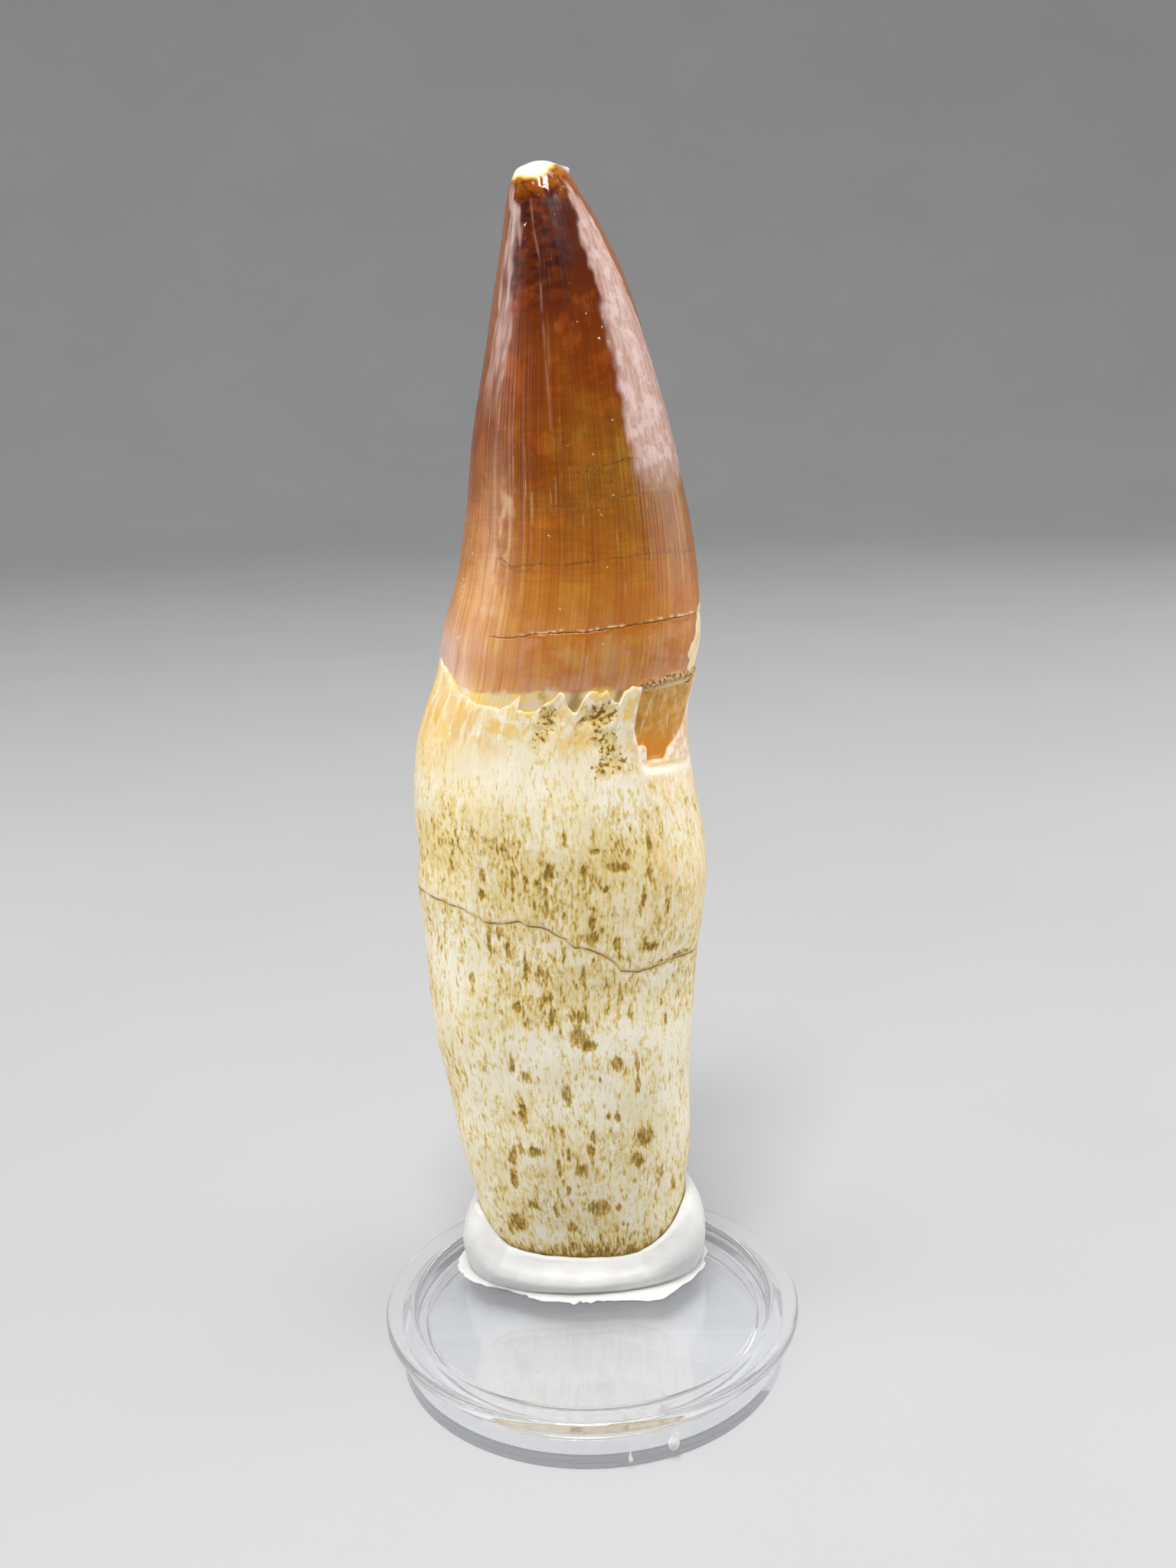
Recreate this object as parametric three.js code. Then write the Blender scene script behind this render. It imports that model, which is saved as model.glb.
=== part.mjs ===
// Fossil tooth of a giant marine lizard, crown and root in one piece, held upright by a
// collar of white putty on a clear round two-part capsule.
// Millimetres, +Z up. The origin is the centre of the capsule's underside, where it rests.
// Seen from the front, +X is to the right and +Y runs away to the back.
import * as THREE from 'three';
import { LoftGeometry } from 'three/addons/geometries/LoftGeometry.js';

// Clear capsule
const FLANGE_RADIUS = 21.0;
const FOOT_RADIUS = 19.5;
const CAPSULE_HEIGHT = 6.0;
const FLANGE_UNDERSIDE = 4.9;
const WINDOW_RADIUS = 18.0;
const WINDOW_DEPTH = 0.8;
const PANEL_THICKNESS = 1.1;
const FOOT_WALL = 1.3;
const SPIGOT_WALL = 1.0;
const SPIGOT_BOTTOM = 2.4;
const EDGE_CHAMFER = 0.3;
const CAPSULE_SEGMENTS = 48;

// Air left between two pieces that touch
const CLEARANCE = 0.3;

// Tooth
const TOOTH_Y = 7.6;
const TOOTH_COLUMNS = 64;
const ROOT_ROWS = 33;
const CROWN_ROWS = 19;
const ROOT_BOTTOM = 7.2;
const TIP_TOP = 115.8;
const MARGIN_HEIGHT = 68.7;
// The bone stands this far proud of the crown, and the crown swells back out over FLARE.
const BONE_EDGE = 0.35;
const FLARE = 4;
const LEDGE_RISE = 0.05;
// Rows of points crowd together towards the margin, and a little towards the tip.
const ROOT_CROWDING = 1.3;
const CROWN_CROWDING = 1.15;

// Putty collar: its outer edge on the window is a squared ellipse round this centre
const PUTTY_COLUMNS = 40;
const PUTTY_FOOT = { x: - 0.4, y: 7.6, halfWidth: 12.6, halfDepth: 7.2 };
const FOOT_SQUARENESS = 2.2;
// Thin skirt that is smeared out over the window
const SKIRT_SPREAD = 1.3;
const SKIRT_THICKNESS = 0.5;
// Upper edge round the root: low in front, high behind
const RIM_MIDDLE = 11.9;
const RIM_RISE_TO_BACK = 2.9;
const RIM_RISE_TO_RIGHT = 0.6;
const RIM_RISE_AT_SIDES = 1.3;
// Rounded shoulder: distance below the rim and distance out from the root
const SHOULDER = { drop: 1.2, out: 1.2 };
const LIP = { drop: 0.3, out: 0.85 };
const CUP_GAP = CLEARANCE + 0.05;
const CUP_FLOOR_RISE = 0.1;
const CUP_FLOOR_INSET = 3;

// Cross-sections of the tooth: height, then the left and right edges as x, then the front
// and back surfaces as distances from the plane y = TOOTH_Y.
const STATIONS = [
  [ ROOT_BOTTOM, -6.6, 6.2, -4.4, 4.8 ],
  [ 8.4, -8.0, 7.5, -5.2, 5.6 ],
  [ 10.5, -9.9, 9.3, -6.1, 6.6 ],
  [ 14.5, -11.8, 10.0, -7.1, 7.5 ],
  [ 20.0, -13.3, 10.7, -8.0, 8.4 ],
  [ 26.0, -14.2, 10.7, -8.6, 8.9 ],
  [ 33.0, -15.4, 11.1, -9.1, 9.4 ],
  [ 42.0, -15.9, 11.7, -9.5, 9.9 ],
  [ 50.0, -16.2, 12.4, -9.8, 10.3 ],
  [ 57.0, -16.2, 11.6, -9.7, 10.2 ],
  [ 62.0, -15.7, 10.9, -9.3, 9.9 ],
  [ 66.0, -14.7, 11.1, -9.1, 9.8 ],
  [ 69.5, -13.4, 12.0, -9.1, 9.9 ],
  [ 73.5, -12.5, 12.4, -9.1, 9.9 ],
  [ 78.0, -11.0, 12.1, -8.8, 9.7 ],
  [ 84.0, -9.8, 11.3, -8.1, 9.2 ],
  [ 92.0, -8.7, 9.6, -7.0, 8.4 ],
  [ 100.0, -7.2, 7.4, -5.6, 7.2 ],
  [ 106.0, -6.2, 5.5, -4.3, 6.0 ],
  [ 110.0, -5.4, 3.6, -3.1, 5.0 ],
  [ 113.5, -4.7, 1.6, -1.9, 4.0 ],
  [ 115.2, -3.9, 0.4, -0.8, 3.0 ],
  [ TIP_TOP, -2.6, -0.8, 0.4, 2.0 ],
];
const LEFT = 1;
const RIGHT = 2;
const FRONT = 3;
const BACK = 4;

// How square the cross-section is: 2 is an ellipse
const ROOT_SQUARENESS = 2.3;
const CROWN_SQUARENESS = 2.05;

// Lobes of bone that reach down or up along the crown's margin: angle in degrees from +X
// towards +Y, half-width in degrees, and how far the margin drops there.
const MARGIN_LOBES = [
  [ - 170, 22, - 1.9 ],
  [ - 108, 8, 1.3 ],
  [ - 84, 8, 1.8 ],
  [ - 60, 8, 1.6 ],
  [ 20, 14, 0.8 ],
  [ 62, 9, 1.5 ],
  [ 96, 9, 1.1 ],
  [ 134, 12, 1.6 ],
];

// Chipped window under the crown, where the bone is gone from the brown tooth inside
const CHIP_ANGLES = [ - 46, - 14 ];
const CHIP_BOTTOM = 61.5;
const CHIP_DEPTH = 1.1;
const CHIP_SLOPE_ANGLE = 3;
const CHIP_SLOPE_HEIGHT = 0.7;

// Long soft ridges that part the crown's faces: angle, half-width and height
const CROWN_RIDGES = [
  [ - 51, 11, 0.4 ],
  [ - 142, 10, 0.25 ],
  [ 40, 12, 0.3 ],
  [ 138, 12, 0.25 ],
];
const RIDGE_BOTTOM = 84;
const RIDGE_FULL = 92;
// All relief dies away over this stretch below the tip
const TIP_FADE = 5;

// Cutting edges of the crown, on its right and left sides
const CUTTING_EDGES = [
  [ - 2, 5, 0.2 ],
  [ 181, 5, 0.2 ],
];

// Pits in the bone: angle, height, half-width, half-height and depth
const PITS = [
  [ - 79, 34.6, 1.6, 2.3, 0.6 ],
  [ - 56, 31.2, 1.2, 1.5, 0.5 ],
  [ - 70, 45.4, 1.2, 2.0, 0.5 ],
  [ - 90, 28.6, 1.2, 1.8, 0.5 ],
  [ - 96, 65.6, 1.4, 1.6, 0.6 ],
  [ - 65, 65.8, 1.6, 1.8, 0.7 ],
  [ - 55, 62.4, 1.4, 2.6, 0.5 ],
  [ 75, 52.0, 1.8, 2.6, 0.6 ],
  [ 112, 38.0, 1.6, 2.4, 0.5 ],
];

// Broad lumps of the root: angle, height, half-width and half-height in millimetres, rise
const LUMPS = [
  [ - 20, 49.0, 6.0, 6.5, 0.35 ],
  [ - 172, 52.0, 4.0, 3.0, - 0.3 ],
  [ - 168, 48.5, 5.0, 2.6, 0.3 ],
  [ - 84, 55.0, 7.0, 7.0, 0.35 ],
  [ - 120, 40.0, 6.0, 8.0, - 0.3 ],
  [ - 50, 38.5, 6.0, 3.5, - 0.35 ],
  [ 60, 44.0, 7.0, 9.0, 0.4 ],
  [ 120, 56.0, 6.0, 6.0, - 0.35 ],
];

const RADIANS = Math.PI / 180;

// Cubic curve through one column of the stations, read at a height
function stationValue( column, height ) {

  const last = STATIONS.length - 1;
  const z = THREE.MathUtils.clamp( height, STATIONS[ 0 ][ 0 ], STATIONS[ last ][ 0 ] );
  let i = 0;
  while ( i < last - 1 && STATIONS[ i + 1 ][ 0 ] <= z ) i ++;
  const slope = ( k ) => {

    const a = STATIONS[ Math.max( k - 1, 0 ) ];
    const b = STATIONS[ Math.min( k + 1, last ) ];
    return ( b[ column ] - a[ column ] ) / ( b[ 0 ] - a[ 0 ] );

  };
  const step = STATIONS[ i + 1 ][ 0 ] - STATIONS[ i ][ 0 ];
  const t = ( z - STATIONS[ i ][ 0 ] ) / step;
  const s = 1 - t;
  return ( 1 + 2 * t ) * s * s * STATIONS[ i ][ column ]
    + t * s * s * step * slope( i )
    + t * t * ( 3 - 2 * t ) * STATIONS[ i + 1 ][ column ]
    - t * t * s * step * slope( i + 1 );

}

// Shortest way round from one angle to another, in degrees
function turn( from, to ) {

  return THREE.MathUtils.euclideanModulo( to - from + 180, 360 ) - 180;

}

// Smooth hump: 1 in the middle, 0 far away
function hump( distance ) {

  return Math.exp( - distance * distance );

}

// Height at which the bone ends and the crown starts, at one angle
function marginHeight( angle ) {

  let height = MARGIN_HEIGHT;
  for ( const [ at, width, drop ] of MARGIN_LOBES ) height -= drop * hump( turn( at, angle ) / width );
  return height;

}

function centreAt( height ) {

  return new THREE.Vector2(
    ( stationValue( LEFT, height ) + stationValue( RIGHT, height ) ) / 2,
    TOOTH_Y + ( stationValue( FRONT, height ) + stationValue( BACK, height ) ) / 2,
  );

}

// Plain radius of the cross-section, before any relief
function plainRadius( height, angle ) {

  const halfWidth = ( stationValue( RIGHT, height ) - stationValue( LEFT, height ) ) / 2;
  const halfDepth = ( stationValue( BACK, height ) - stationValue( FRONT, height ) ) / 2;
  const blend = THREE.MathUtils.smoothstep( height, MARGIN_HEIGHT - FLARE, MARGIN_HEIGHT + FLARE );
  const power = THREE.MathUtils.lerp( ROOT_SQUARENESS, CROWN_SQUARENESS, blend );
  const c = Math.abs( Math.cos( angle * RADIANS ) ) / halfWidth;
  const s = Math.abs( Math.sin( angle * RADIANS ) ) / halfDepth;
  return ( c ** power + s ** power ) ** ( - 1 / power );

}

// Bone that is gone from the chipped window
function chipDepth( height, angle ) {

  const side = THREE.MathUtils.smoothstep( turn( CHIP_ANGLES[ 0 ], angle ), 0, CHIP_SLOPE_ANGLE )
    * THREE.MathUtils.smoothstep( turn( angle, CHIP_ANGLES[ 1 ] ), 0, CHIP_SLOPE_ANGLE );
  return CHIP_DEPTH * side * THREE.MathUtils.smoothstep( height, CHIP_BOTTOM, CHIP_BOTTOM + CHIP_SLOPE_HEIGHT );

}

// Relief of the root: lumps, pits and the chipped window
function rootRelief( height, angle ) {

  const radius = plainRadius( height, angle );
  let relief = 0;
  for ( const [ at, level, wide, tall, rise ] of LUMPS ) {

    const across = turn( at, angle ) * RADIANS * radius / wide;
    relief += rise * hump( Math.hypot( across, ( height - level ) / tall ) );

  }
  for ( const [ at, level, wide, tall, depth ] of PITS ) {

    const across = turn( at, angle ) * RADIANS * radius / wide;
    relief -= depth * hump( Math.hypot( across, ( height - level ) / tall ) );

  }
  return relief - chipDepth( height, angle );

}

// Relief of the crown: the ridges between its faces and the two cutting edges
function crownRelief( height, angle ) {

  const grown = THREE.MathUtils.smoothstep( height, RIDGE_BOTTOM, RIDGE_FULL );
  const fade = 1 - THREE.MathUtils.smoothstep( height, TIP_TOP - TIP_FADE, TIP_TOP );
  let relief = 0;
  for ( const [ at, width, rise ] of CROWN_RIDGES ) relief += rise * grown * hump( turn( at, angle ) / width );
  for ( const [ at, width, rise ] of CUTTING_EDGES ) relief += rise * hump( turn( at, angle ) / width );
  return relief * fade;

}

// One closed ring of points round the tooth, at a height and radius given per angle
function toothRing( heightAt, radiusAt ) {

  const ring = [];
  for ( let j = 0; j < TOOTH_COLUMNS; j ++ ) {

    const angle = j * 360 / TOOTH_COLUMNS;
    const height = heightAt( angle );
    const centre = centreAt( height );
    const radius = radiusAt( height, angle );
    ring.push( new THREE.Vector3(
      centre.x + radius * Math.cos( angle * RADIANS ),
      centre.y + radius * Math.sin( angle * RADIANS ),
      height,
    ) );

  }
  return ring;

}

function toothGeometry() {

  const rings = [];
  for ( let i = 0; i <= ROOT_ROWS; i ++ ) {

    const part = 1 - ( 1 - i / ROOT_ROWS ) ** ROOT_CROWDING;
    rings.push( toothRing(
      ( angle ) => THREE.MathUtils.lerp( ROOT_BOTTOM, marginHeight( angle ), part ),
      ( height, angle ) => plainRadius( height, angle ) + rootRelief( height, angle ),
    ) );

  }
  // The bone ends in a small ledge, and the crown starts just inside it.
  for ( let i = 0; i <= CROWN_ROWS; i ++ ) {

    const part = 1 - ( 1 - i / CROWN_ROWS ) ** CROWN_CROWDING;
    rings.push( toothRing(
      ( angle ) => THREE.MathUtils.lerp( marginHeight( angle ) + LEDGE_RISE, TIP_TOP, part ),
      ( height, angle ) => {

        const aboveMargin = height - marginHeight( angle );
        const step = BONE_EDGE * ( 1 - THREE.MathUtils.smoothstep( aboveMargin, 0, FLARE ) );
        const edge = 1 - THREE.MathUtils.smoothstep( aboveMargin, 0, CHIP_SLOPE_HEIGHT );
        const chip = chipDepth( height, angle ) * edge;
        return plainRadius( height, angle ) + crownRelief( height, angle ) - Math.max( step, chip );

      },
    ) );

  }
  return new LoftGeometry( rings, { capStart: true, capEnd: true } );

}

// Height of the putty's upper edge at one angle
function puttyRim( angle ) {

  const s = Math.sin( angle * RADIANS );
  const c = Math.cos( angle * RADIANS );
  return RIM_MIDDLE + RIM_RISE_TO_BACK * s + RIM_RISE_TO_RIGHT * c + RIM_RISE_AT_SIDES * c * c;

}

// A point on the putty's foot, spread outwards by a distance
function footPoint( angle, spread, height ) {

  const c = Math.cos( angle * RADIANS );
  const s = Math.sin( angle * RADIANS );
  const across = Math.abs( c ) / ( PUTTY_FOOT.halfWidth + spread );
  const along = Math.abs( s ) / ( PUTTY_FOOT.halfDepth + spread );
  const radius = ( across ** FOOT_SQUARENESS + along ** FOOT_SQUARENESS ) ** ( - 1 / FOOT_SQUARENESS );
  return new THREE.Vector3( PUTTY_FOOT.x + radius * c, PUTTY_FOOT.y + radius * s, height );

}

// A point beside the root, at a distance from its surface
function besideRoot( angle, height, distance ) {

  const centre = centreAt( height );
  const radius = plainRadius( height, angle ) + distance;
  return new THREE.Vector3(
    centre.x + radius * Math.cos( angle * RADIANS ),
    centre.y + radius * Math.sin( angle * RADIANS ),
    height,
  );

}

// The skin runs from the foot up the outside, over the rim and down inside the cup.
function puttyGeometry() {

  const bottom = CAPSULE_HEIGHT - WINDOW_DEPTH + CLEARANCE / 6;
  const skirtTop = bottom + SKIRT_THICKNESS;
  const wallStart = skirtTop + SKIRT_THICKNESS;
  const cupFloor = ROOT_BOTTOM - CLEARANCE;
  const wallPoint = ( part ) => ( angle ) => {

    const low = footPoint( angle, 0, wallStart );
    const high = besideRoot( angle, puttyRim( angle ) - SHOULDER.drop, SHOULDER.out );
    return low.lerp( high, part );

  };
  const cupPoint = ( part ) => ( angle ) => {

    const height = THREE.MathUtils.lerp( puttyRim( angle ), cupFloor - CUP_FLOOR_RISE, part );
    return besideRoot( angle, height, CUP_GAP );

  };
  const skin = [
    ( angle ) => footPoint( angle, SKIRT_SPREAD, bottom ),
    ( angle ) => footPoint( angle, SKIRT_SPREAD * 0.9, skirtTop - SKIRT_THICKNESS / 3 ),
    ( angle ) => footPoint( angle, SKIRT_SPREAD * 0.25, skirtTop ),
    wallPoint( 0 ),
    wallPoint( 0.35 ),
    wallPoint( 0.7 ),
    wallPoint( 1 ),
    ( angle ) => besideRoot( angle, puttyRim( angle ) - LIP.drop, LIP.out ),
    ( angle ) => besideRoot( angle, puttyRim( angle ), ( CUP_GAP + LIP.out ) / 2 ),
    cupPoint( 0.1 ),
    cupPoint( 0.45 ),
    cupPoint( 0.8 ),
    cupPoint( 1 ),
    ( angle ) => besideRoot( angle, cupFloor, - CUP_FLOOR_INSET ),
  ];
  const rings = skin.map( ( pointAt ) => {

    const ring = [];
    for ( let j = 0; j < PUTTY_COLUMNS; j ++ ) ring.push( pointAt( j * 360 / PUTTY_COLUMNS ) );
    return ring;

  } );
  return new LoftGeometry( rings, { capStart: true, capEnd: true } );

}

// Solid of revolution about Z from a profile of radius and height pairs
function turned( profile ) {

  const points = profile.map( ( [ radius, height ] ) => new THREE.Vector2( radius, height ) );
  return new THREE.LatheGeometry( points, CAPSULE_SEGMENTS ).rotateX( Math.PI / 2 );

}

function capGeometry() {

  const windowTop = CAPSULE_HEIGHT - WINDOW_DEPTH;
  const windowUnderside = windowTop - PANEL_THICKNESS;
  const spigotOuter = FOOT_RADIUS - FOOT_WALL - CLEARANCE;
  const spigotInner = spigotOuter - SPIGOT_WALL;
  return turned( [
    [ 0, windowUnderside ],
    [ spigotInner, windowUnderside ],
    [ spigotInner, SPIGOT_BOTTOM ],
    [ spigotOuter, SPIGOT_BOTTOM ],
    [ spigotOuter, FLANGE_UNDERSIDE ],
    [ FLANGE_RADIUS - EDGE_CHAMFER, FLANGE_UNDERSIDE ],
    [ FLANGE_RADIUS, FLANGE_UNDERSIDE + EDGE_CHAMFER ],
    [ FLANGE_RADIUS, CAPSULE_HEIGHT - EDGE_CHAMFER ],
    [ FLANGE_RADIUS - EDGE_CHAMFER, CAPSULE_HEIGHT ],
    [ WINDOW_RADIUS + EDGE_CHAMFER, CAPSULE_HEIGHT ],
    [ WINDOW_RADIUS, CAPSULE_HEIGHT - EDGE_CHAMFER ],
    [ WINDOW_RADIUS - EDGE_CHAMFER, windowTop ],
    [ 0, windowTop ],
  ] );

}

function footGeometry() {

  const wallInner = FOOT_RADIUS - FOOT_WALL;
  const wallTop = FLANGE_UNDERSIDE - CLEARANCE;
  return turned( [
    [ 0, 0 ],
    [ FOOT_RADIUS - EDGE_CHAMFER, 0 ],
    [ FOOT_RADIUS, EDGE_CHAMFER ],
    [ FOOT_RADIUS, wallTop ],
    [ wallInner, wallTop ],
    [ wallInner, PANEL_THICKNESS ],
    [ 0, PANEL_THICKNESS ],
  ] );

}

const fossil = new THREE.MeshStandardMaterial( { color: 0xc9a56b, roughness: 0.5, metalness: 0 } );
const whitePutty = new THREE.MeshStandardMaterial( { color: 0xf2f0ea, roughness: 0.75, metalness: 0 } );
const clearPlastic = new THREE.MeshStandardMaterial( {
  color: 0xe9edf3, roughness: 0.05, metalness: 0, transparent: true, opacity: 0.35,
} );

function piece( name, geometry, material ) {

  const mesh = new THREE.Mesh( geometry, material );
  mesh.name = name;
  return mesh;

}

const capsule = new THREE.Group();
capsule.add( piece( 'clear_cap', capGeometry(), clearPlastic ) );
capsule.add( piece( 'clear_foot', footGeometry(), clearPlastic ) );

const specimen = new THREE.Group();
specimen.add( piece( 'tooth', toothGeometry(), fossil ) );
specimen.add( piece( 'putty', puttyGeometry(), whitePutty ) );
specimen.add( capsule );

export default specimen;
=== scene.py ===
"""Looks of the fossil tooth, the putty collar that holds it and the clear capsule under it.

Lengths are in millimetres until a mesh is made, where MM turns them into Blender's metres.
Seen from the front, +X is to the right and +Y runs away to the back. Angles round the tooth
are in degrees from +X towards +Y, so the front faces -90 and the back faces 90.
"""
import math

import bpy
import numpy as np
from mathutils import Matrix, Vector


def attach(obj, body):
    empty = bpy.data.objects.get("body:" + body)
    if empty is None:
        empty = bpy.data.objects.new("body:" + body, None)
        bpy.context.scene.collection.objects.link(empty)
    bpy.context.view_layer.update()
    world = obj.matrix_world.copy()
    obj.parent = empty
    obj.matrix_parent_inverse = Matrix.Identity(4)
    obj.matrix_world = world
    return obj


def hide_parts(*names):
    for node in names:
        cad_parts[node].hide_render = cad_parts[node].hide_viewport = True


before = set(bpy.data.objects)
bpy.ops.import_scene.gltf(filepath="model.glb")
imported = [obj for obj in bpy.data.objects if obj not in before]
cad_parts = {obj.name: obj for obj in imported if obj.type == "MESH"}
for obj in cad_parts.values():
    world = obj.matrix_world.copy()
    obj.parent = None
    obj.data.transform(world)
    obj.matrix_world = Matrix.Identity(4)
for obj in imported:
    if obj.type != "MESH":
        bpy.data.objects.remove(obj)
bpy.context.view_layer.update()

MM = 0.001
MM_PER_METRE = 1000.0

# Clear capsule
FLANGE_RADIUS = 21.0
FOOT_RADIUS = 19.5
CAPSULE_HEIGHT = 6.0
FLANGE_UNDERSIDE = 4.9
WINDOW_RADIUS = 18.0
WINDOW_TOP = 5.2
PANEL_THICKNESS = 1.1
FOOT_WALL = 1.3
SPIGOT_OUTER = 17.9
SPIGOT_INNER = 16.9
SPIGOT_BOTTOM = 2.4
FOOT_TOP = 4.6
CAPSULE_SEGMENTS = 256

# Tooth
TOOTH_Y = 7.6
ROOT_BOTTOM = 7.2
TIP_TOP = 115.8
TIP_DOME = 0.12
MARGIN_HEIGHT = 68.7
BONE_EDGE = 0.26
FLARE = 4.0
CROWN_REFERENCE = 80.0
ROOT_REFERENCE = 45.0
CROWN_COLUMNS = 380
# Inside the bone the brown tooth goes on as a narrower stub; it starts higher behind the window.
STUB_BOTTOM = 59.0
STUB_TOP = 66.0
STUB_TOP_IN_WINDOW = 68.4
STUB_STEP = 1.4
ENAMEL_THICKNESS = 0.05
POLISHED_FROM = (96.0, 104.0)
DOME_SHARES = (0.93, 0.8, 0.62, 0.4, 0.18)
# Rows of points from the stub's bottom over the edge and the four cracks to the tip: their
# number in each band, and how much they crowd together at its two ends
STUB_ROWS_TOP = 64.0
UPPER_ROWS = 104.0
CROWN_BANDS = [
    (4, 0), (26, 0.6), (27, 0.8), (30, 0.8), (25, 0.8), (14, 0.75), (60, 0.65), (62, 0.5),
]
ROOT_COLUMNS = 470
ROOT_ROWS_UNDER_CRACK = 108
ROOT_ROWS_OVER_CRACK = 92
TOP_ROW_BELOW_MARGIN = 0.12
CRACK_LIPS = 0.11
STAIN_DEPTH = 0.05
# How the bone's upper edge rolls over inwards: distance in and rise
ROLLED_EDGE = [(0.04, 0.07), (0.12, 0.11), (0.28, 0.12), (0.5, 0.02), (0.8, -0.25)]

# Cross-sections of the tooth: height, then the left and right edges as x, then the front
# and back surfaces as distances from the plane y = TOOTH_Y.
STATIONS = np.array([
    (ROOT_BOTTOM, -8.4, 7.8, -4.9, 5.2),
    (8.4, -9.6, 8.9, -5.6, 5.9),
    (10.5, -10.9, 9.9, -6.3, 6.8),
    (14.5, -11.9, 10.1, -7.1, 7.5),
    (20.0, -13.3, 10.7, -8.0, 8.4),
    (26.0, -14.2, 10.7, -8.6, 8.9),
    (33.0, -15.4, 11.1, -9.1, 9.4),
    (42.0, -15.9, 11.7, -9.5, 9.9),
    (50.0, -16.2, 12.4, -9.8, 10.3),
    (57.0, -16.2, 11.6, -9.7, 10.2),
    (62.0, -15.7, 10.9, -9.3, 9.9),
    (66.0, -14.7, 11.1, -9.1, 9.8),
    (69.5, -13.4, 12.0, -9.1, 9.9),
    (73.5, -12.5, 12.4, -9.1, 9.9),
    (78.0, -11.0, 12.1, -8.8, 9.7),
    (84.0, -9.8, 11.3, -8.1, 9.2),
    (92.0, -8.7, 9.6, -7.0, 8.4),
    (100.0, -7.1, 7.4, -5.6, 7.2),
    (106.0, -5.95, 5.5, -4.3, 6.0),
    (110.0, -5.15, 3.6, -3.1, 5.0),
    (113.5, -4.6, 1.6, -1.9, 4.0),
    (115.2, -3.9, 0.4, -0.8, 3.0),
    (TIP_TOP, -2.6, -0.8, 0.4, 2.0),
])
LEFT, RIGHT, FRONT, BACK = 1, 2, 3, 4
FOOT_END_SQUARENESS = 3.0
ROOT_SQUARENESS = 2.3
CROWN_SQUARENESS = 2.05

# Upper edge of the bone, as x and height on the front, and round the back by angle
BONE_MARGIN_FRONT = [
    (-12.8, 71.2), (-12.1, 70.5), (-11.6, 69.6), (-10.8, 68.6), (-10.0, 68.2), (-9.3, 67.7),
    (-8.2, 67.5), (-7.1, 67.3), (-6.2, 67.6), (-5.3, 67.5), (-5.0, 68.7), (-4.6, 67.3), (-3.5, 67.3),
    (-2.9, 67.8), (-1.8, 68.3), (-1.3, 68.9), (-0.9, 68.9), (-0.7, 67.9), (-0.2, 67.1), (0.3, 67.0),
    (0.9, 68.2), (1.3, 68.8), (1.9, 69.0), (2.6, 68.7), (3.1, 69.0), (3.5, 68.2), (3.8, 67.7),
    (4.3, 67.6), (4.7, 68.7), (5.6, 69.0), (6.6, 69.0), (9.0, 68.6), (11.0, 68.5),
]
BONE_MARGIN_BACK = [
    (5, 68.9), (20, 69.0), (30, 68.2), (38, 69.1), (46, 69.0), (55, 67.8), (62, 67.2), (70, 68.4),
    (76, 69.2), (88, 68.9), (96, 67.6), (103, 68.9), (118, 69.1), (127, 67.8), (134, 67.1), (142, 68.3),
    (150, 69.4), (162, 70.4), (172, 71.0),
]
# Lower edge of the enamel
ENAMEL_EDGE_FRONT = [
    (-12.8, 71.0), (-11.5, 69.8), (-10.8, 69.2), (-9.3, 68.9), (-7.4, 68.85), (-4.9, 69.0),
    (-0.7, 69.0), (4.6, 68.85), (8.6, 69.0), (10.7, 68.9),
]
ENAMEL_EDGE_BACK = [(20, 68.9), (60, 69.1), (100, 68.9), (140, 69.0), (165, 70.4)]

# Cracks of the crown: x and height on the front, then angle and height round the back
MAIN_CRACK = {
    "front": [
        (-7.5, 73.9), (-5.6, 73.9), (-3.3, 74.3), (1.4, 74.4), (3.7, 74.6), (6.5, 74.85),
        (9.4, 75.0), (11.9, 75.0),
    ],
    "back": [(15, 75.1), (40, 74.6), (75, 75.2), (110, 74.5), (150, 74.2), (185, 73.6), (205, 73.8)],
    "width": 0.06, "depth": 0.10, "dark": 0.9, "reach": (-136, 150),
}
SECOND_CRACK = {
    "front": [
        (-7.5, 81.0), (-6.3, 81.0), (-5.4, 80.3), (-2.7, 80.6), (-1.0, 80.35), (1.6, 80.7),
        (6.6, 81.1), (8.8, 81.1), (11.6, 80.7),
    ],
    "back": [(20, 80.9), (60, 81.6), (100, 80.8), (150, 81.2), (190, 81.0)],
    "width": 0.11, "depth": 0.006, "dark": 0.80, "reach": (-138, 60),
}
THIRD_CRACK = {
    "front": [(-2.9, 86.1), (-0.2, 85.5), (2.6, 86.0), (6.0, 86.4), (9.7, 86.5)],
    "back": [(10, 86.4), (90, 86.0), (180, 86.3)],
    "width": 0.11, "depth": 0.006, "dark": 0.80, "reach": (-114, -22),
}
FOURTH_CRACK = {
    "front": [(-4.3, 87.6), (-1.2, 88.0), (1.3, 88.6), (2.6, 89.0), (4.0, 89.3), (5.4, 89.65)],
    "back": [(10, 90.0), (90, 89.2), (180, 88.6)],
    "width": 0.12, "depth": 0.006, "dark": 0.90, "reach": (-92, -52),
}
CRACKS = (MAIN_CRACK, SECOND_CRACK, THIRD_CRACK, FOURTH_CRACK)
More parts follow.
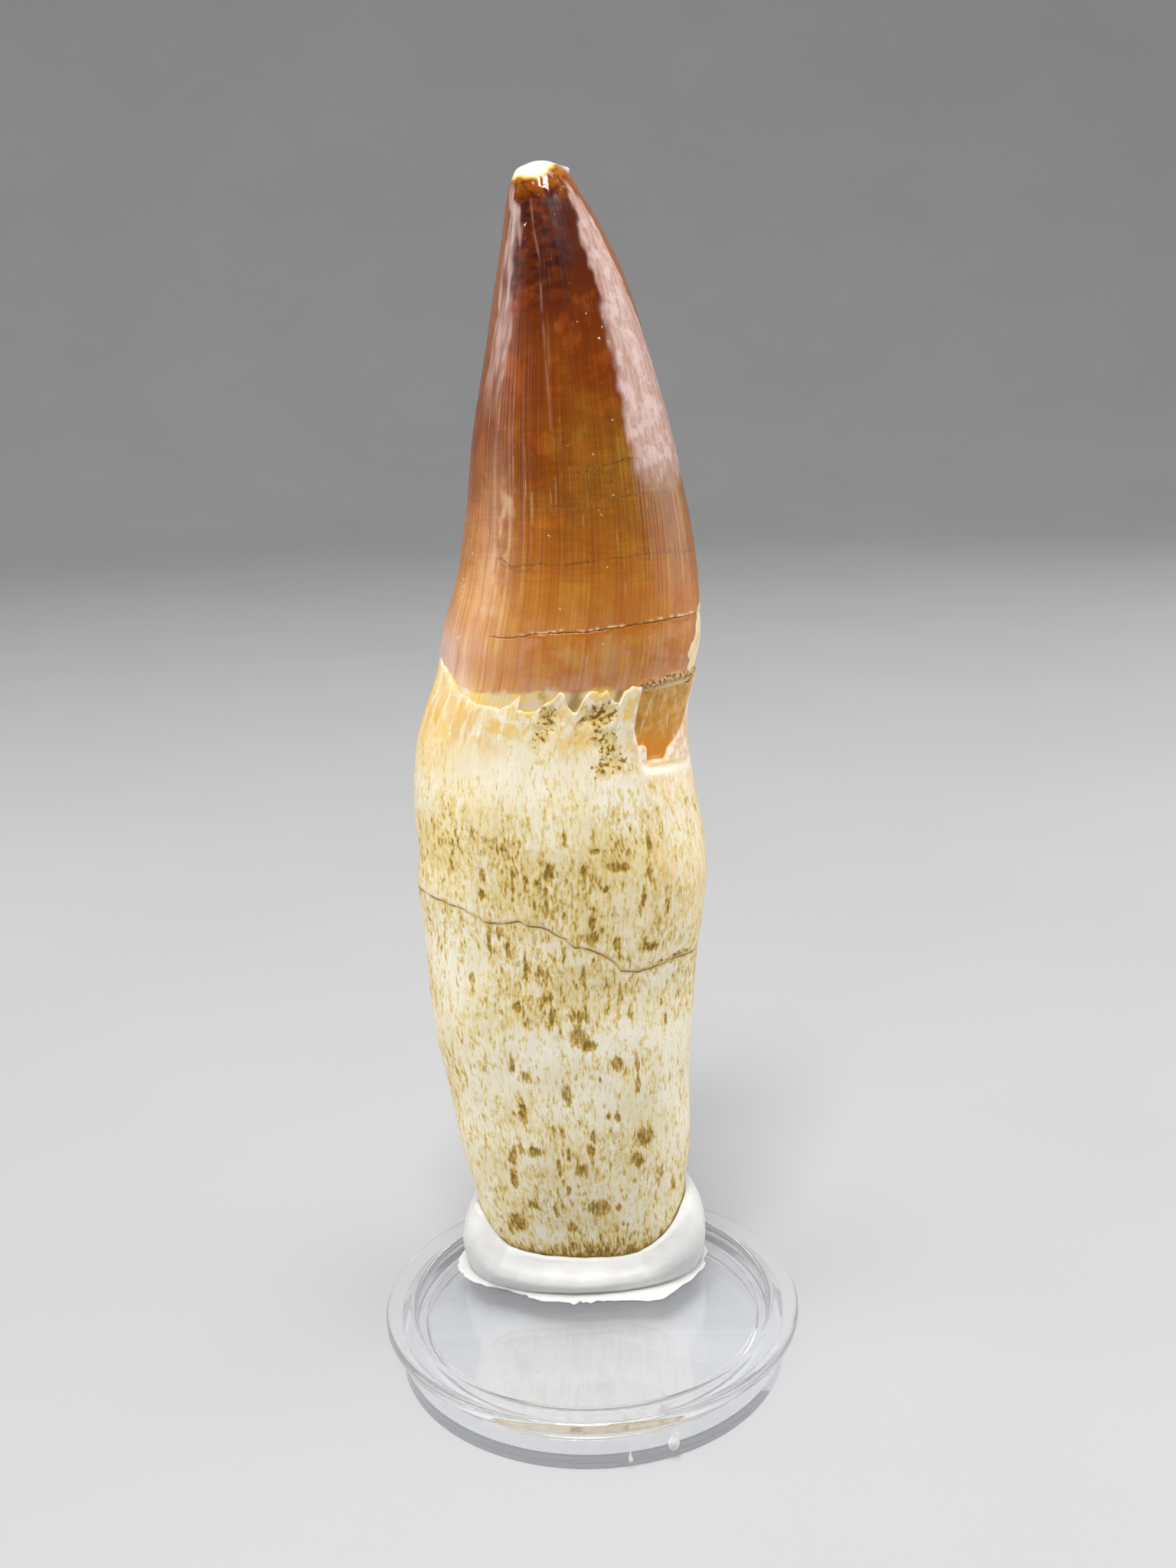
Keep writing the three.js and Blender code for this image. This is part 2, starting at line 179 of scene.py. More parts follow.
# Short hairlines between them, too fine for a row of points of their own
HAIRLINES = [
    [(-4.3, 87.0), (-2.1, 87.25), (-1.2, 87.75), (1.0, 88.0), (3.3, 88.2), (4.0, 87.6)],
    [(1.7, 87.4), (4.0, 87.75)],
    [(-0.2, 85.4), (1.7, 85.1), (3.2, 85.4)],
    [(-6.3, 80.4), (-4.8, 79.9), (-3.6, 80.1)],
]
HAIRLINE_WIDTH = 0.10
HAIRLINE_DEPTH = 0.008
HAIRLINE_DARK = 0.65

# Chipped window under the crown as angle and height: the break's outline, and the brown floor
# of the inner tooth inside it. It gets shallow towards the right.
WINDOW_OUTLINE = [
    (-48.5, 70.0), (-48.0, 67.0), (-48.0, 65.0), (-45.5, 63.6), (-43.5, 61.8), (-42.0, 60.9),
    (-38.0, 60.7), (-8.0, 60.2), (-7.0, 64.0), (-8.0, 67.0), (-7.0, 70.0),
]
WINDOW_FLOOR = [
    (-48.0, 70.0), (-47.5, 67.3), (-47.5, 65.0), (-45.0, 64.0), (-43.0, 63.1), (-39.5, 63.0),
    (-38.3, 61.5), (-28.0, 61.3), (-24.0, 62.6), (-17.0, 63.7), (-13.0, 65.1), (-10.0, 67.0),
    (-8.0, 70.0),
]
WINDOW_DEPTH = 0.85
WINDOW_LEDGE_DEPTH = 0.3
WINDOW_SHALLOW_END = (-7, -34)
WINDOW_WALL = 0.3
WINDOW_MM_PER_DEGREE = 0.2

# Faces of the crown meet in long ridges: angle, half-width in degrees and height
CROWN_RIDGES = [(-54, 15, 0.55), (-140, 12, 0.35), (40, 14, 0.4), (138, 14, 0.35)]
RIDGE_BOTTOM = 82.0
RIDGE_FULL = 94.0
RIDGE_ROUNDING = 1.6
CUTTING_EDGES = [(4, 6, 0.14), (181, 5, 0.16)]
TIP_FADE = 5.0
# Worn satin face on the crown's right, painted pale pink partly as a painted reflection of the light:
# height, then its left and right edges as angles
SATIN_FACE = [
    (86.0, -44, 4), (88.2, -51, 10), (92.2, -55, 12), (98.3, -56, 6), (101.7, -58, -6),
    (104.3, -58, -18), (106.9, -60, -25), (109.6, -60, -26), (112.0, -57, -34), (113.6, -52, -42),
]
SATIN_BOTTOM = (86.0, 90.5)
# Under the main crack the crown has sunk between these two angles.
SUNK_ARC = (-125, -5)
# Pale cap of the tip, where it reaches lowest down, and the splinter on the tip's right shoulder
WEAR_X = -1.9
WEAR_HEIGHT = 114.25
SPLINTER_ANGLE = -12
SPLINTER_HEIGHT = 115.15
# Strip on the crown's left painted pale as a painted reflection of the light, in the columns of the satin
# face
HIGHLIGHT_STRIP = [
    (92.0, -158, -142), (95.2, -160, -139), (101.9, -155, -137), (107.3, -157, -136),
    (109.9, -153, -132), (111.2, -147, -130), (113.6, -168, -146),
]
PALE_STREAK = [
    (-2.6, 112.3), (-2.4, 109.6), (-1.95, 107.0), (-1.9, 103.0), (-1.7, 99.1), (-1.55, 96.4),
    (-1.4, 92.5),
]
# Hollows of the bone's edge where the band above it is darker: angle, half-width and amount
DARK_NOTCHES = [(-83, 5, 1.0), (-59, 3.5, 0.7), (-104, 3.5, 0.35)]
# Cream chip along the crown's right edge: height, then its left and right edges as angles
CREAM_CHIP = [
    (68.9, -12, 1), (70.2, -20, 3), (71.3, -21, 6), (72.7, -16, 8), (74.6, -13, 6), (75.2, -11, 8),
    (76.4, -8, 7), (77.6, -3, 6), (78.8, 2, 5),
]

# Pits in the bone: angle, height, half-width, half-height and depth
PITS = [
    (-95, 66.5, 1.1, 1.2, 0.40), (-68, 66.6, 1.4, 1.4, 0.5), (-60, 63.9, 1.2, 1.3, 0.22),
    (-56, 62.0, 1.0, 1.1, 0.12), (-96, 64.6, 0.8, 0.8, 0.12), (-63, 61.4, 0.9, 1.0, 0.08),
    (75, 52.0, 1.8, 2.6, 0.5), (112, 38.0, 1.6, 2.4, 0.4),
]

# Broad lumps of the root: angle, height, half-width and half-height in millimetres, rise
LUMPS = [
    (-20, 49.0, 6.0, 6.5, 0.35), (-172, 52.0, 4.0, 3.0, -0.3), (-168, 48.5, 5.0, 2.6, 0.3),
    (-84, 55.0, 7.0, 7.0, 0.35), (-120, 40.0, 6.0, 8.0, -0.3), (-50, 38.5, 6.0, 3.5, -0.35),
    (60, 44.0, 7.0, 9.0, 0.4), (120, 56.0, 6.0, 6.0, -0.35),
]

# Crack that runs across the root's front, as x and height, and its line on round the back
ROOT_CRACK = {
    "front": [
        (-15.3, 48.6), (-13.0, 48.2), (-11.6, 47.9), (-10.7, 47.5), (-9.3, 46.7), (-7.8, 46.6),
        (-6.0, 47.0), (-5.0, 46.5), (-3.8, 46.4), (-1.6, 45.2), (-0.7, 44.3), (0.7, 44.0),
        (2.2, 43.1), (3.3, 42.3), (3.8, 41.4), (5.7, 41.1), (7.4, 41.3), (9.3, 41.7), (11.0, 41.5),
    ],
    "back": [(10, 41.6), (90, 44.0), (165, 48.0)],
    "width": 0.12, "depth": 0.05, "reach": (-186, 12),
}
# Angle where golden grains fill it
GOLD_IN_CRACK = -33
# Hairline under the chipped window: its angles and its heights there
WINDOW_HAIRLINE_ARC = (-38, -12)
WINDOW_HAIRLINE_HEIGHTS = (61.3, 60.85)

# Stains of the root's front: x, height, half-width and half-height
STAINS = [
    (-0.5, 35.0, 1.0, 1.3), (0.4, 33.8, 0.9, 0.8), (3.2, 31.7, 0.7, 0.9), (5.2, 31.2, 0.3, 1.0),
    (5.1, 29.1, 0.35, 1.2), (-6.0, 30.6, 0.5, 0.8), (-7.3, 31.9, 0.3, 1.2), (-1.9, 28.5, 0.7, 1.4),
    (-6.3, 26.5, 0.4, 1.6), (3.1, 25.8, 0.4, 0.8), (2.2, 25.9, 0.25, 0.5), (0.6, 23.8, 0.4, 0.8),
    (0.3, 22.3, 0.5, 0.9), (5.8, 23.0, 1.2, 1.3), (-7.6, 21.1, 0.4, 1.0), (-7.5, 18.7, 0.4, 1.4),
    (-5.2, 22.2, 0.9, 0.7), (-2.9, 20.4, 0.3, 1.3), (-1.9, 21.8, 0.3, 0.9), (-0.7, 19.9, 0.7, 0.8),
    (5.1, 20.6, 0.9, 0.9), (-5.7, 15.8, 0.5, 0.6), (-7.4, 13.3, 1.0, 1.3), (-3.4, 15.2, 0.35, 1.0),
    (-2.0, 17.6, 0.3, 0.7), (7.4, 18.5, 0.3, 0.9), (8.7, 16.5, 0.4, 0.7), (1.0, 15.3, 1.4, 1.3),
    (3.0, 15.3, 0.35, 0.5), (-1.8, 12.9, 0.6, 0.7), (-6.5, 38.0, 0.6, 0.6), (-3.1, 37.0, 0.35, 1.0),
    (-0.6, 37.0, 1.1, 0.6), (4.7, 36.7, 0.5, 0.4), (8.3, 35.4, 0.3, 0.9), (-10.9, 40.7, 0.3, 0.9),
    (-3.7, 38.9, 0.9, 0.5), (0.1, 41.3, 0.3, 1.1), (-5.5, 42.2, 0.25, 1.8), (-7.2, 43.9, 0.25, 1.0),
    (-9.0, 44.8, 0.25, 1.8), (-7.9, 45.7, 0.4, 0.7), (6.5, 43.6, 1.0, 0.6), (3.4, 44.4, 0.4, 0.9),
    (0.9, 45.2, 0.9, 0.9), (1.1, 46.8, 0.45, 0.8), (2.4, 50.0, 0.4, 0.5), (0.3, 51.8, 0.3, 0.8),
    (3.6, 52.1, 1.4, 0.6), (1.4, 53.8, 0.6, 0.4), (-1.3, 55.0, 0.3, 0.9), (6.5, 54.1, 0.3, 1.3),
    (6.5, 51.3, 0.3, 0.8), (6.0, 49.0, 0.25, 1.2), (-2.9, 51.9, 0.4, 1.1), (-3.2, 49.2, 0.25, 1.8),
    (-3.9, 50.9, 0.3, 0.3), (-6.4, 51.4, 0.2, 1.6), (-9.3, 51.5, 0.35, 0.8), (-9.5, 49.5, 0.4, 0.8),
    (8.2, 47.1, 0.25, 0.8),
]

# Broad areas of the root's front that are more stained (over 0) or paler (under 0) than the
# rest: x, height, half-width, half-height and amount
STAINED_AREAS = [
    (-5.9, 51.5, 4.2, 4.2, 0.9), (3.1, 52.3, 2.6, 2.8, 0.9), (-3.4, 39.8, 5.2, 2.8, 1.0),
    (-12.6, 52.1, 1.8, 1.6, 0.8), (0.8, 46.0, 1.8, 2.2, 0.9), (6.3, 44.2, 2.2, 1.6, 0.8),
    (5.6, 21.8, 2.2, 3.6, 0.7), (-2.5, 20.9, 4.2, 2.4, 0.6), (0.4, 14.2, 3.2, 1.8, 0.8),
    (-7.1, 13.3, 2.4, 2.0, 0.9), (-5.9, 60.7, 6.5, 3.2, -1.0), (4.3, 57.4, 2.6, 3.0, -1.2),
    (9.9, 54.8, 2.8, 7.0, -0.9), (-13.4, 44.0, 3.0, 4.5, -0.9), (3.5, 34.1, 4.4, 2.3, -1.2),
    (0.3, 28.6, 4.0, 3.8, -1.0), (-9.4, 30.9, 2.6, 4.0, -0.5), (9.2, 29.0, 2.0, 10.0, -0.9),
    (-11.4, 23.2, 2.4, 4.5, -0.8), (-12.9, 38.5, 2.2, 4.5, -0.8), (-5.5, 34.6, 2.6, 1.6, -0.8),
]

# Small pores strewn over the whole root
PORE_COUNT = 2600
# How far the points of a pore or a stain can lie from it, in its half-widths and half-heights
STAMP_REACH = 1.6
PORE_HALF_WIDTHS = (0.08, 0.19)
PORE_LENGTHS = (1.8, 6.0)
PORE_DEPTHS = (0.0, 0.02)

# Putty collar
PUTTY_COLUMNS = 512
PUTTY_FOOT = {"x": -0.65, "y": 7.6, "half_width": 12.35, "half_depth": 7.2}
FOOT_SQUARENESS = 2.2
SKIRT_SPREAD = 1.0
SKIRT_THICKNESS = 0.32
# Where the skirt reaches further out or less far: angle, half-width and reach
SKIRT_LOBES = [(-176, 8, 0.35), (-46, 12, 1.0), (-143, 17, -0.90), (-10, 16, -0.5)]
# Upper edge of the putty: angle and height
PUTTY_RIM = [
    (-178, 13.0), (-168, 13.5), (-160, 13.2), (-156, 12.3), (-151, 11.0), (-146, 10.2), (-136, 9.7),
    (-123, 9.4), (-105, 9.2), (-92, 9.05), (-59, 9.1), (-48, 9.4), (-41, 10.1), (-33, 11.3),
    (-26, 12.5), (-20, 13.4), (-12, 13.9), (0, 13.9), (30, 13.6), (60, 13.8), (95, 14.0), (130, 13.5),
    (160, 13.2),
]
# How far the collar's wall bulges out of the straight line from its foot to its lip
PUTTY_BULGE = [(0.03, 0.12), (0.16, 0.5), (0.4, 0.85), (0.66, 0.8), (0.88, 0.45)]

# Crumbs of putty stuck to the capsule's lower wall: angle, height, half-width, half-height, spike
CRUMBS = [(-68.0, 1.75, 0.55, 0.85, 1.0), (-80.5, 0.95, 0.2, 0.32, 0.8)]

# Camera
FOCAL_PIXELS = 2000.0
PHOTO_HEIGHT_PIXELS = 2048.0
SENSOR_MM = 36.0
CAMERA_PLACE = (1.0328, -139.5544, 95.2110)
CAMERA_TILT_DOWN = 14.230
CAMERA_ROLL = -1.5908


# Shapes in numbers

def smooth_step(value, low, high):
    part = np.clip((value - low) / (high - low), 0, 1)
    return part * part * (3 - 2 * part)


def band(value, start, full, fading, end):
    """0 up to start, 1 from full to fading, and 0 again from end."""
    return smooth_step(value, start, full) * (1 - smooth_step(value, fading, end))


def hump(distance):
    """Smooth bump: 1 in the middle, 0 far away."""
    return np.exp(-np.square(distance))


def turn_between(start, end):
    """Shortest way round from one angle to another, in degrees."""
    return (end - start + 180) % 360 - 180


FAR_AWAY = 1e9
LATTICE_SIZE = 32
lattice = np.random.default_rng(11).uniform(-1, 1, (LATTICE_SIZE,) * 3)


def soft_noise(points, cell, shift=0.0):
    """Smooth noise from -1 to 1 at points in space; cell is the size of its bumps."""
    place = np.asarray(points) / np.asarray(cell, float) + shift
    low = np.floor(place).astype(int)
    part = place - low
    part = part * part * (3 - 2 * part)
    total = np.zeros(place.shape[:-1])
    for corner in np.ndindex(2, 2, 2):
        weight = np.prod(np.where(corner, part, 1 - part), axis=-1)
        i, j, k = ((low[..., axis] + corner[axis]) % LATTICE_SIZE for axis in range(3))
        total += weight * lattice[i, j, k]
    return total


def patchy(points, cell, shift, middle, swing, low=0, high=1):
    """Random values round a middle, kept between two limits."""
    return np.clip(middle + swing * soft_noise(points, cell, shift), low, high)


def station_value(column, height):
    """Cubic curve through one column of the stations, read at a height."""
    levels, values = STATIONS[:, 0], STATIONS[:, column]
    slopes = np.empty(len(levels))
    slopes[1:-1] = (values[2:] - values[:-2]) / (levels[2:] - levels[:-2])
    slopes[0] = (values[1] - values[0]) / (levels[1] - levels[0])
    slopes[-1] = (values[-1] - values[-2]) / (levels[-1] - levels[-2])
    z = np.clip(height, levels[0], levels[-1])
    i = np.clip(np.searchsorted(levels, z, side="right") - 1, 0, len(levels) - 2)
    step = levels[i + 1] - levels[i]
    t = (z - levels[i]) / step
    s = 1 - t
    return ((1 + 2 * t) * s * s * values[i] + t * s * s * step * slopes[i]
            + t * t * (3 - 2 * t) * values[i + 1] - t * t * s * step * slopes[i + 1])


def section_of(height):
    """Centre and half sizes of the cross-section at a height, and how square it is."""
    left, right, front, back = (station_value(k, height) for k in (LEFT, RIGHT, FRONT, BACK))
    blend = smooth_step(height, MARGIN_HEIGHT - FLARE, MARGIN_HEIGHT + FLARE)
    power = ROOT_SQUARENESS + (CROWN_SQUARENESS - ROOT_SQUARENESS) * blend
    power = power + (FOOT_END_SQUARENESS - ROOT_SQUARENESS) * (1 - smooth_step(height, 10, 20))
    return (left + right) / 2, TOOTH_Y + (front + back) / 2, (right - left) / 2, (back - front) / 2, power


def plain_radius(height, angle):
    _, _, half_width, half_depth, power = section_of(height)
    c = np.abs(np.cos(np.radians(angle))) / half_width
    s = np.abs(np.sin(np.radians(angle))) / half_depth
    return (c ** power + s ** power) ** (-1 / power)


def point_at(height, angle, radius):
    """Points of the tooth at a radius from the section's centre."""
    centre_x, centre_y, _, _, _ = section_of(height)
    turn = np.radians(angle)
    return np.stack([centre_x + radius * np.cos(turn), centre_y + radius * np.sin(turn),
                     np.broadcast_to(height, np.shape(radius))], axis=-1)


def surface_point(height, angle):
    """Points on the tooth's plain surface, without relief."""
    return point_at(height, angle, plain_radius(height, angle))


def front_angle(x, height):
    """Angle at which the tooth's front surface has this x."""
    centre_x, _, half_width, half_depth, power = section_of(np.asarray(height, float))
    across = np.clip((x - centre_x) / half_width, -0.999, 0.999)
    along = -half_depth * (1 - np.abs(across) ** power) ** (1 / power)
    return np.degrees(np.arctan2(along, across * half_width))


def line_round_tooth(front, back, angle):
    """Height of a line that runs round the tooth, at each angle."""
    knots = [(float(front_angle(x, z)), z) for x, z in front] + [(a, z) for a, z in back]
    knots = sorted(((a + 180) % 360 - 180, z) for a, z in knots)
    return np.interp(angle, [a for a, _ in knots], [z for _, z in knots], period=360)


def segment_distance(x, z, start, end):
    """Distance from points to a straight piece of a line."""
    (x0, z0), (x1, z1) = start, end
    dx, dz = x1 - x0, z1 - z0
    t = np.clip(((x - x0) * dx + (z - z0) * dz) / (dx * dx + dz * dz), 0, 1)
    return np.hypot(x - x0 - t * dx, z - z0 - t * dz)


def outline_distance(across, height, outline):
    """Distance in millimetres to the window's outline, positive inside it."""
    corners = [(a * WINDOW_MM_PER_DEGREE, z) for a, z in outline]
    nearest = np.full(np.shape(across), FAR_AWAY)
    inside = np.zeros(np.shape(across), bool)
    for (x0, z0), (x1, z1) in zip(corners, corners[1:] + corners[:1]):
        nearest = np.minimum(nearest, segment_distance(across, height, (x0, z0), (x1, z1)))
        if z0 != z1:
            crosses = (z0 > height) != (z1 > height)
            inside ^= crosses & (across < x0 + (height - z0) * (x1 - x0) / (z1 - z0))
    return np.where(inside, nearest, -nearest)


def distance_to_line(angle, height, points):
    """Distance in millimetres from each point of the front to a line given as x and height."""
    x = surface_point(height, angle)[..., 0]
    nearest = np.full(np.shape(x), FAR_AWAY)
    for start, end in zip(points, points[1:]):
        nearest = np.minimum(nearest, segment_distance(x, height, start, end))
    return np.where(np.sin(np.radians(angle)) < 0, nearest, FAR_AWAY)


def rows_between(low, high, count, crowding):
    """Heights from one line to the next; the rows crowd together at both."""
    step = np.arange(count) / count
    part = step - crowding * np.sin(2 * math.pi * step) / (2 * math.pi)
    return low + (high - low) * part[:, None]


# Meshes

def mesh_object(name, vertices, faces, masks=None):
    """A smooth-shaded mesh from points in millimetres; each mask gives a number or a place per point."""
    mesh = bpy.data.meshes.new(name)
    mesh.from_pydata((np.asarray(vertices) * MM).tolist(), [], faces)
    mesh.validate()
    mesh.shade_smooth()
    for label, values in (masks or {}).items():
        is_place = values.shape[1] == 3
        attribute = mesh.attributes.new(label, "FLOAT_VECTOR" if is_place else "FLOAT", "POINT")
        attribute.data.foreach_set("vector" if is_place else "value", values.astype(np.float32).ravel())
    piece = bpy.data.objects.new(name, mesh)
    bpy.context.scene.collection.objects.link(piece)
    return piece


def closed_loft(name, rings, masks=None):
    """A closed skin over rings of points, with a middle point at each end."""
    rows, columns = rings.shape[:2]

    def with_middles(field):
        """One row per point, and after them the means of the first and last ring."""
        ends = [field[row].reshape(columns, -1).mean(axis=0)[None] for row in (0, -1)]
        return np.concatenate([field.reshape(rows * columns, -1), *ends])

    here = np.arange(columns)
    after = (here + 1) % columns
    faces = []
    for i in range(rows - 1):
        low, high = i * columns, (i + 1) * columns
        faces += np.stack([low + here, low + after, high + after, high + here], axis=1).tolist()
    bottom, top, last = rows * columns, rows * columns + 1, (rows - 1) * columns
    faces += [(bottom, int(b), int(a)) for a, b in zip(here, after)]
    faces += [(top, last + int(a), last + int(b)) for a, b in zip(here, after)]
    values = {label: with_middles(field) for label, field in (masks or {}).items()}
    return mesh_object(name, with_middles(rings), faces, values)


def last_row_kept(masks, count):
    """The masks, with their last row repeated for the rings that close a mesh."""
    return {label: np.concatenate([field, np.repeat(field[-1:], count, axis=0)])
            for label, field in masks.items()}


def turned(name, profile, segments):
    """A solid of revolution from a profile of radius and height that starts and ends on the axis."""
    turn = np.arange(segments) * 2 * math.pi / segments
    inner = np.array(profile[1:-1])
    rings = np.stack([
        inner[:, :1] * np.cos(turn),
        inner[:, :1] * np.sin(turn),
        np.repeat(inner[:, 1:], segments, axis=1),
    ], axis=-1)
    return closed_loft(name, rings)


def rounded(profile, radii, steps=6, support=0.06):
    """The profile with its corners rounded; radii gives the corner radius of each of its points."""
    result = [profile[0]]
    for before, corner, after, radius in zip(profile, profile[1:], profile[2:], radii[1:]):
        if not radius:
            result.append(corner)
            continue
        p = np.array(corner, float)
        back = (np.array(before) - p) / np.linalg.norm(np.array(before) - p)
        ahead = (np.array(after) - p) / np.linalg.norm(np.array(after) - p)
        half = math.acos(float(np.clip(back @ ahead, -1, 1))) / 2
        run = radius / math.tan(half)
        middle = p + (back + ahead) / np.linalg.norm(back + ahead) * radius / math.sin(half)
        start, end = p + back * run, p + ahead * run
        first = math.atan2(*(start - middle)[::-1])
        sweep = (math.atan2(*(end - middle)[::-1]) - first + math.pi) % (2 * math.pi) - math.pi
        result.append(tuple(start + back * support))
        for k in range(steps + 1):
            at = first + sweep * k / steps
            result.append((middle[0] + radius * math.cos(at), middle[1] + radius * math.sin(at)))
        result.append(tuple(end + ahead * support))
    return result + [profile[-1]]


# Tooth

def unrolled(height, angle, reference):
    """Places as if the whole tooth had the cross-section of one reference height, so that a grain
    laid through them runs along the tooth's surface."""
    places = point_at(np.full(height.shape, reference), angle, plain_radius(reference, angle))
    places[..., 2] = height
    return places


def crown_ridges(height, angle):
    """Relief of the ridges between the crown's faces and of its two cutting edges."""
    grown = smooth_step(height, RIDGE_BOTTOM, RIDGE_FULL)
    fade = 1 - smooth_step(height, TIP_TOP - TIP_FADE, TIP_TOP)
    relief = 0.0
    for at, width, rise in CROWN_RIDGES:
        away = np.sqrt(turn_between(at, angle) ** 2 + RIDGE_ROUNDING ** 2) - RIDGE_ROUNDING
        relief = relief + rise * grown * np.exp(-away / width)
    for at, width, rise in CUTTING_EDGES:
        relief = relief + rise * hump(turn_between(at, angle) / width)
    return relief * fade


def crack_mark(crack, line, height, angle):
    """How strongly a crack shows at each point: 1 on its line, 0 away from it."""
    first, last = crack["reach"]
    middle, half = (first + last) / 2, (last - first) / 2
    reach = 1 - smooth_step(np.abs(turn_between(middle, angle)), half - 4, half + 2)
    return reach * hump((height - line) / crack["width"])


def between_edges(table, height, angle, soft):
    """1 between the two edges of a table of height, left and right edge, 0 outside."""
    table = np.array(table, float)
    left = np.interp(height, table[:, 0], table[:, 1])
    right = np.interp(height, table[:, 0], table[:, 2])
    away = np.minimum(turn_between(left, angle), turn_between(angle, right))
    return smooth_step(away, -soft, soft)


def window_share(angle):
    """1 over the chipped window's angles, 0 elsewhere."""
    first, last = WINDOW_FLOOR[0][0], WINDOW_FLOOR[-1][0]
    return band(angle, first - 3, first, last, last + 3)


def crown_rows(edge, lines):
    """Heights of the crown's rows of points, which crowd together at its edge and its cracks."""
    level = np.full(CROWN_COLUMNS, 1.0)
    stops = [level * STUB_BOTTOM, level * STUB_ROWS_TOP, edge, *lines, level * UPPER_ROWS, level * TIP_TOP]
    rows = [rows_between(low, high, *band) for low, high, band in zip(stops, stops[1:], CROWN_BANDS)]
    return np.concatenate([*rows, [level * TIP_TOP]])


def crown_cracks(lines, rows, around, plain):
    """How strongly the cracks show at each point, and how deep they are."""
    shown, depth = np.zeros(rows.shape), np.zeros(rows.shape)
    broken_up = patchy(plain, (0.9, 0.9, 3.0), 5.9, 0.85, 0.6, low=0.45)
    for crack, line in zip(CRACKS, lines):
        mark = crack_mark(crack, line, rows, around)
        depth = depth + crack["depth"] * mark
        shown = np.maximum(shown, crack["dark"] * mark * broken_up)
    for points in HAIRLINES:
        mark = hump(distance_to_line(around, rows, points) / HAIRLINE_WIDTH)
        depth = depth + HAIRLINE_DEPTH * mark
        shown = np.maximum(shown, HAIRLINE_DARK * mark * broken_up)
    return shown, depth


def crown_wear(rows, around, plain):
    """Masks of the crown's worn faces, partly painted reflection, the painted highlight strip on its left,
    its scraped left, its chipped edge and its lighter sides.
    """
    ragged = 2.6 * soft_noise(plain, (0.3, 0.3, 2.2), 3.7) + 2.0 * soft_noise(plain, (0.7, 0.7, 1.0), 7.4)
    worn_face_and_sheen = between_edges(SATIN_FACE, rows, around + ragged, 3.2)
    worn_face_and_sheen = worn_face_and_sheen * smooth_step(rows + 0.35 * ragged, *SATIN_BOTTOM) * (1 - smooth_step(rows, 113.2, 114.2))
    # Strip painted pale on the left as a painted reflection of the light
    highlight_strip = between_edges(HIGHLIGHT_STRIP, rows, around + 1.4 * ragged, 3.0)
    highlight_strip = highlight_strip * band(rows, 92, 100, 113.0, 114.2)
    streaky = patchy(plain, (0.35, 0.35, 5.0), 6.9, 0.8, 0.7)
    along = patchy(plain, (0.9, 0.9, 1.1), 8.2, 0.55, 0.8, low=0.1)
    streak = hump(distance_to_line(around, rows, PALE_STREAK) / 0.08) * along
    scraped = hump(turn_between(-137 + (rows - 80) * 0.6, around) / 6)
    scraped = scraped * band(rows, 74, 77, 86, 89)
    scraped = scraped * smooth_step(soft_noise(plain, (0.3, 0.3, 1.0), 4.9), -0.2, 0.5)
    chip_ragged = 3.0 * soft_noise(plain, (0.8, 0.8, 0.8), 2.9)
    chip = between_edges(CREAM_CHIP, rows, around + chip_ragged, 1.5)
    chip = chip * band(rows, 69.0, 69.5, 78.0, 78.8)
    # The hollows of the scalloped bone edge are darker than the rest of the band above it.
    notch = 0.5 * hump(np.sin(np.radians(3.7 * around)) * 2.5)
    for at, wide, amount in DARK_NOTCHES:
        notch = notch + amount * hump(turn_between(at, around) / wide)
    # Near the tip the crown is lighter at its two sides than in front.
    aside = np.abs(turn_between(-92, around))
    side = band(aside, 46, 72, 90, 130) * smooth_step(rows, 90, 106)
    return {"worn_face_and_sheen": worn_face_and_sheen, "highlight_strip_and_streak": np.maximum(highlight_strip * streaky, 0.42 * streak), "side": side,
            "scraped": scraped, "chip": chip, "notch": np.clip(notch, 0, 1)}


def rusty_crack(under, around, plain):
    """Rust and grit that crept in below the main crack, and how far the crown has sunk there."""
    shifted = smooth_step(turn_between(SUNK_ARC[0], around), 0, 14)
    shifted = shifted * (1 - smooth_step(turn_between(SUNK_ARC[1], around), 0, 60))
    to_the_right = smooth_step(turn_between(-85, around), 0, 50)
    sunk = 0.08 * to_the_right * shifted * smooth_step(under, -1.8, -0.05) * (under < 0)
    rust_depth = 0.24 + 0.12 * to_the_right + 0.25 * soft_noise(plain, (0.9, 0.9, 30), 1.7)
    rust = shifted * smooth_step(under, -rust_depth - 0.20, -rust_depth + 0.05) * (under < 0.03)
    rust = rust * patchy(plain, (0.5, 0.5, 0.3), 2.7, 0.9, 0.8)
    uneven = 0.12 * soft_noise(plain, (0.5, 0.5, 30), 4.7)
    grit = shifted * hump((under - 0.16 - uneven) / 0.12)
    grit = grit * smooth_step(soft_noise(plain, (0.33, 0.33, 0.4), 8.1), -0.05, 0.3)
    return rust, grit, sunk


def worn_tip(rows, around, plain):
    """Masks of the tip's pale cap and of the splinter on its right shoulder, and their relief."""
    from_middle = plain[..., 0] - WEAR_X
    wear_line = WEAR_HEIGHT + 0.85 * np.maximum(from_middle, 0) - 0.1 * np.minimum(from_middle, 0)
    wear_line = wear_line + 0.25 * soft_noise(plain, 0.8, 4.4)
    worn = smooth_step(rows, wear_line - 0.7, wear_line + 0.5)
    splinter = hump((rows - SPLINTER_HEIGHT) / 0.34) * hump((around - SPLINTER_ANGLE) / 15)
    relief = 0.45 * splinter + 0.05 * worn * soft_noise(plain, 0.5, 9.1)
    relief = relief + 0.05 * smooth_step(rows, 112.0, 113.5) * soft_noise(plain, 0.42, 6.4)
    return worn, splinter, relief


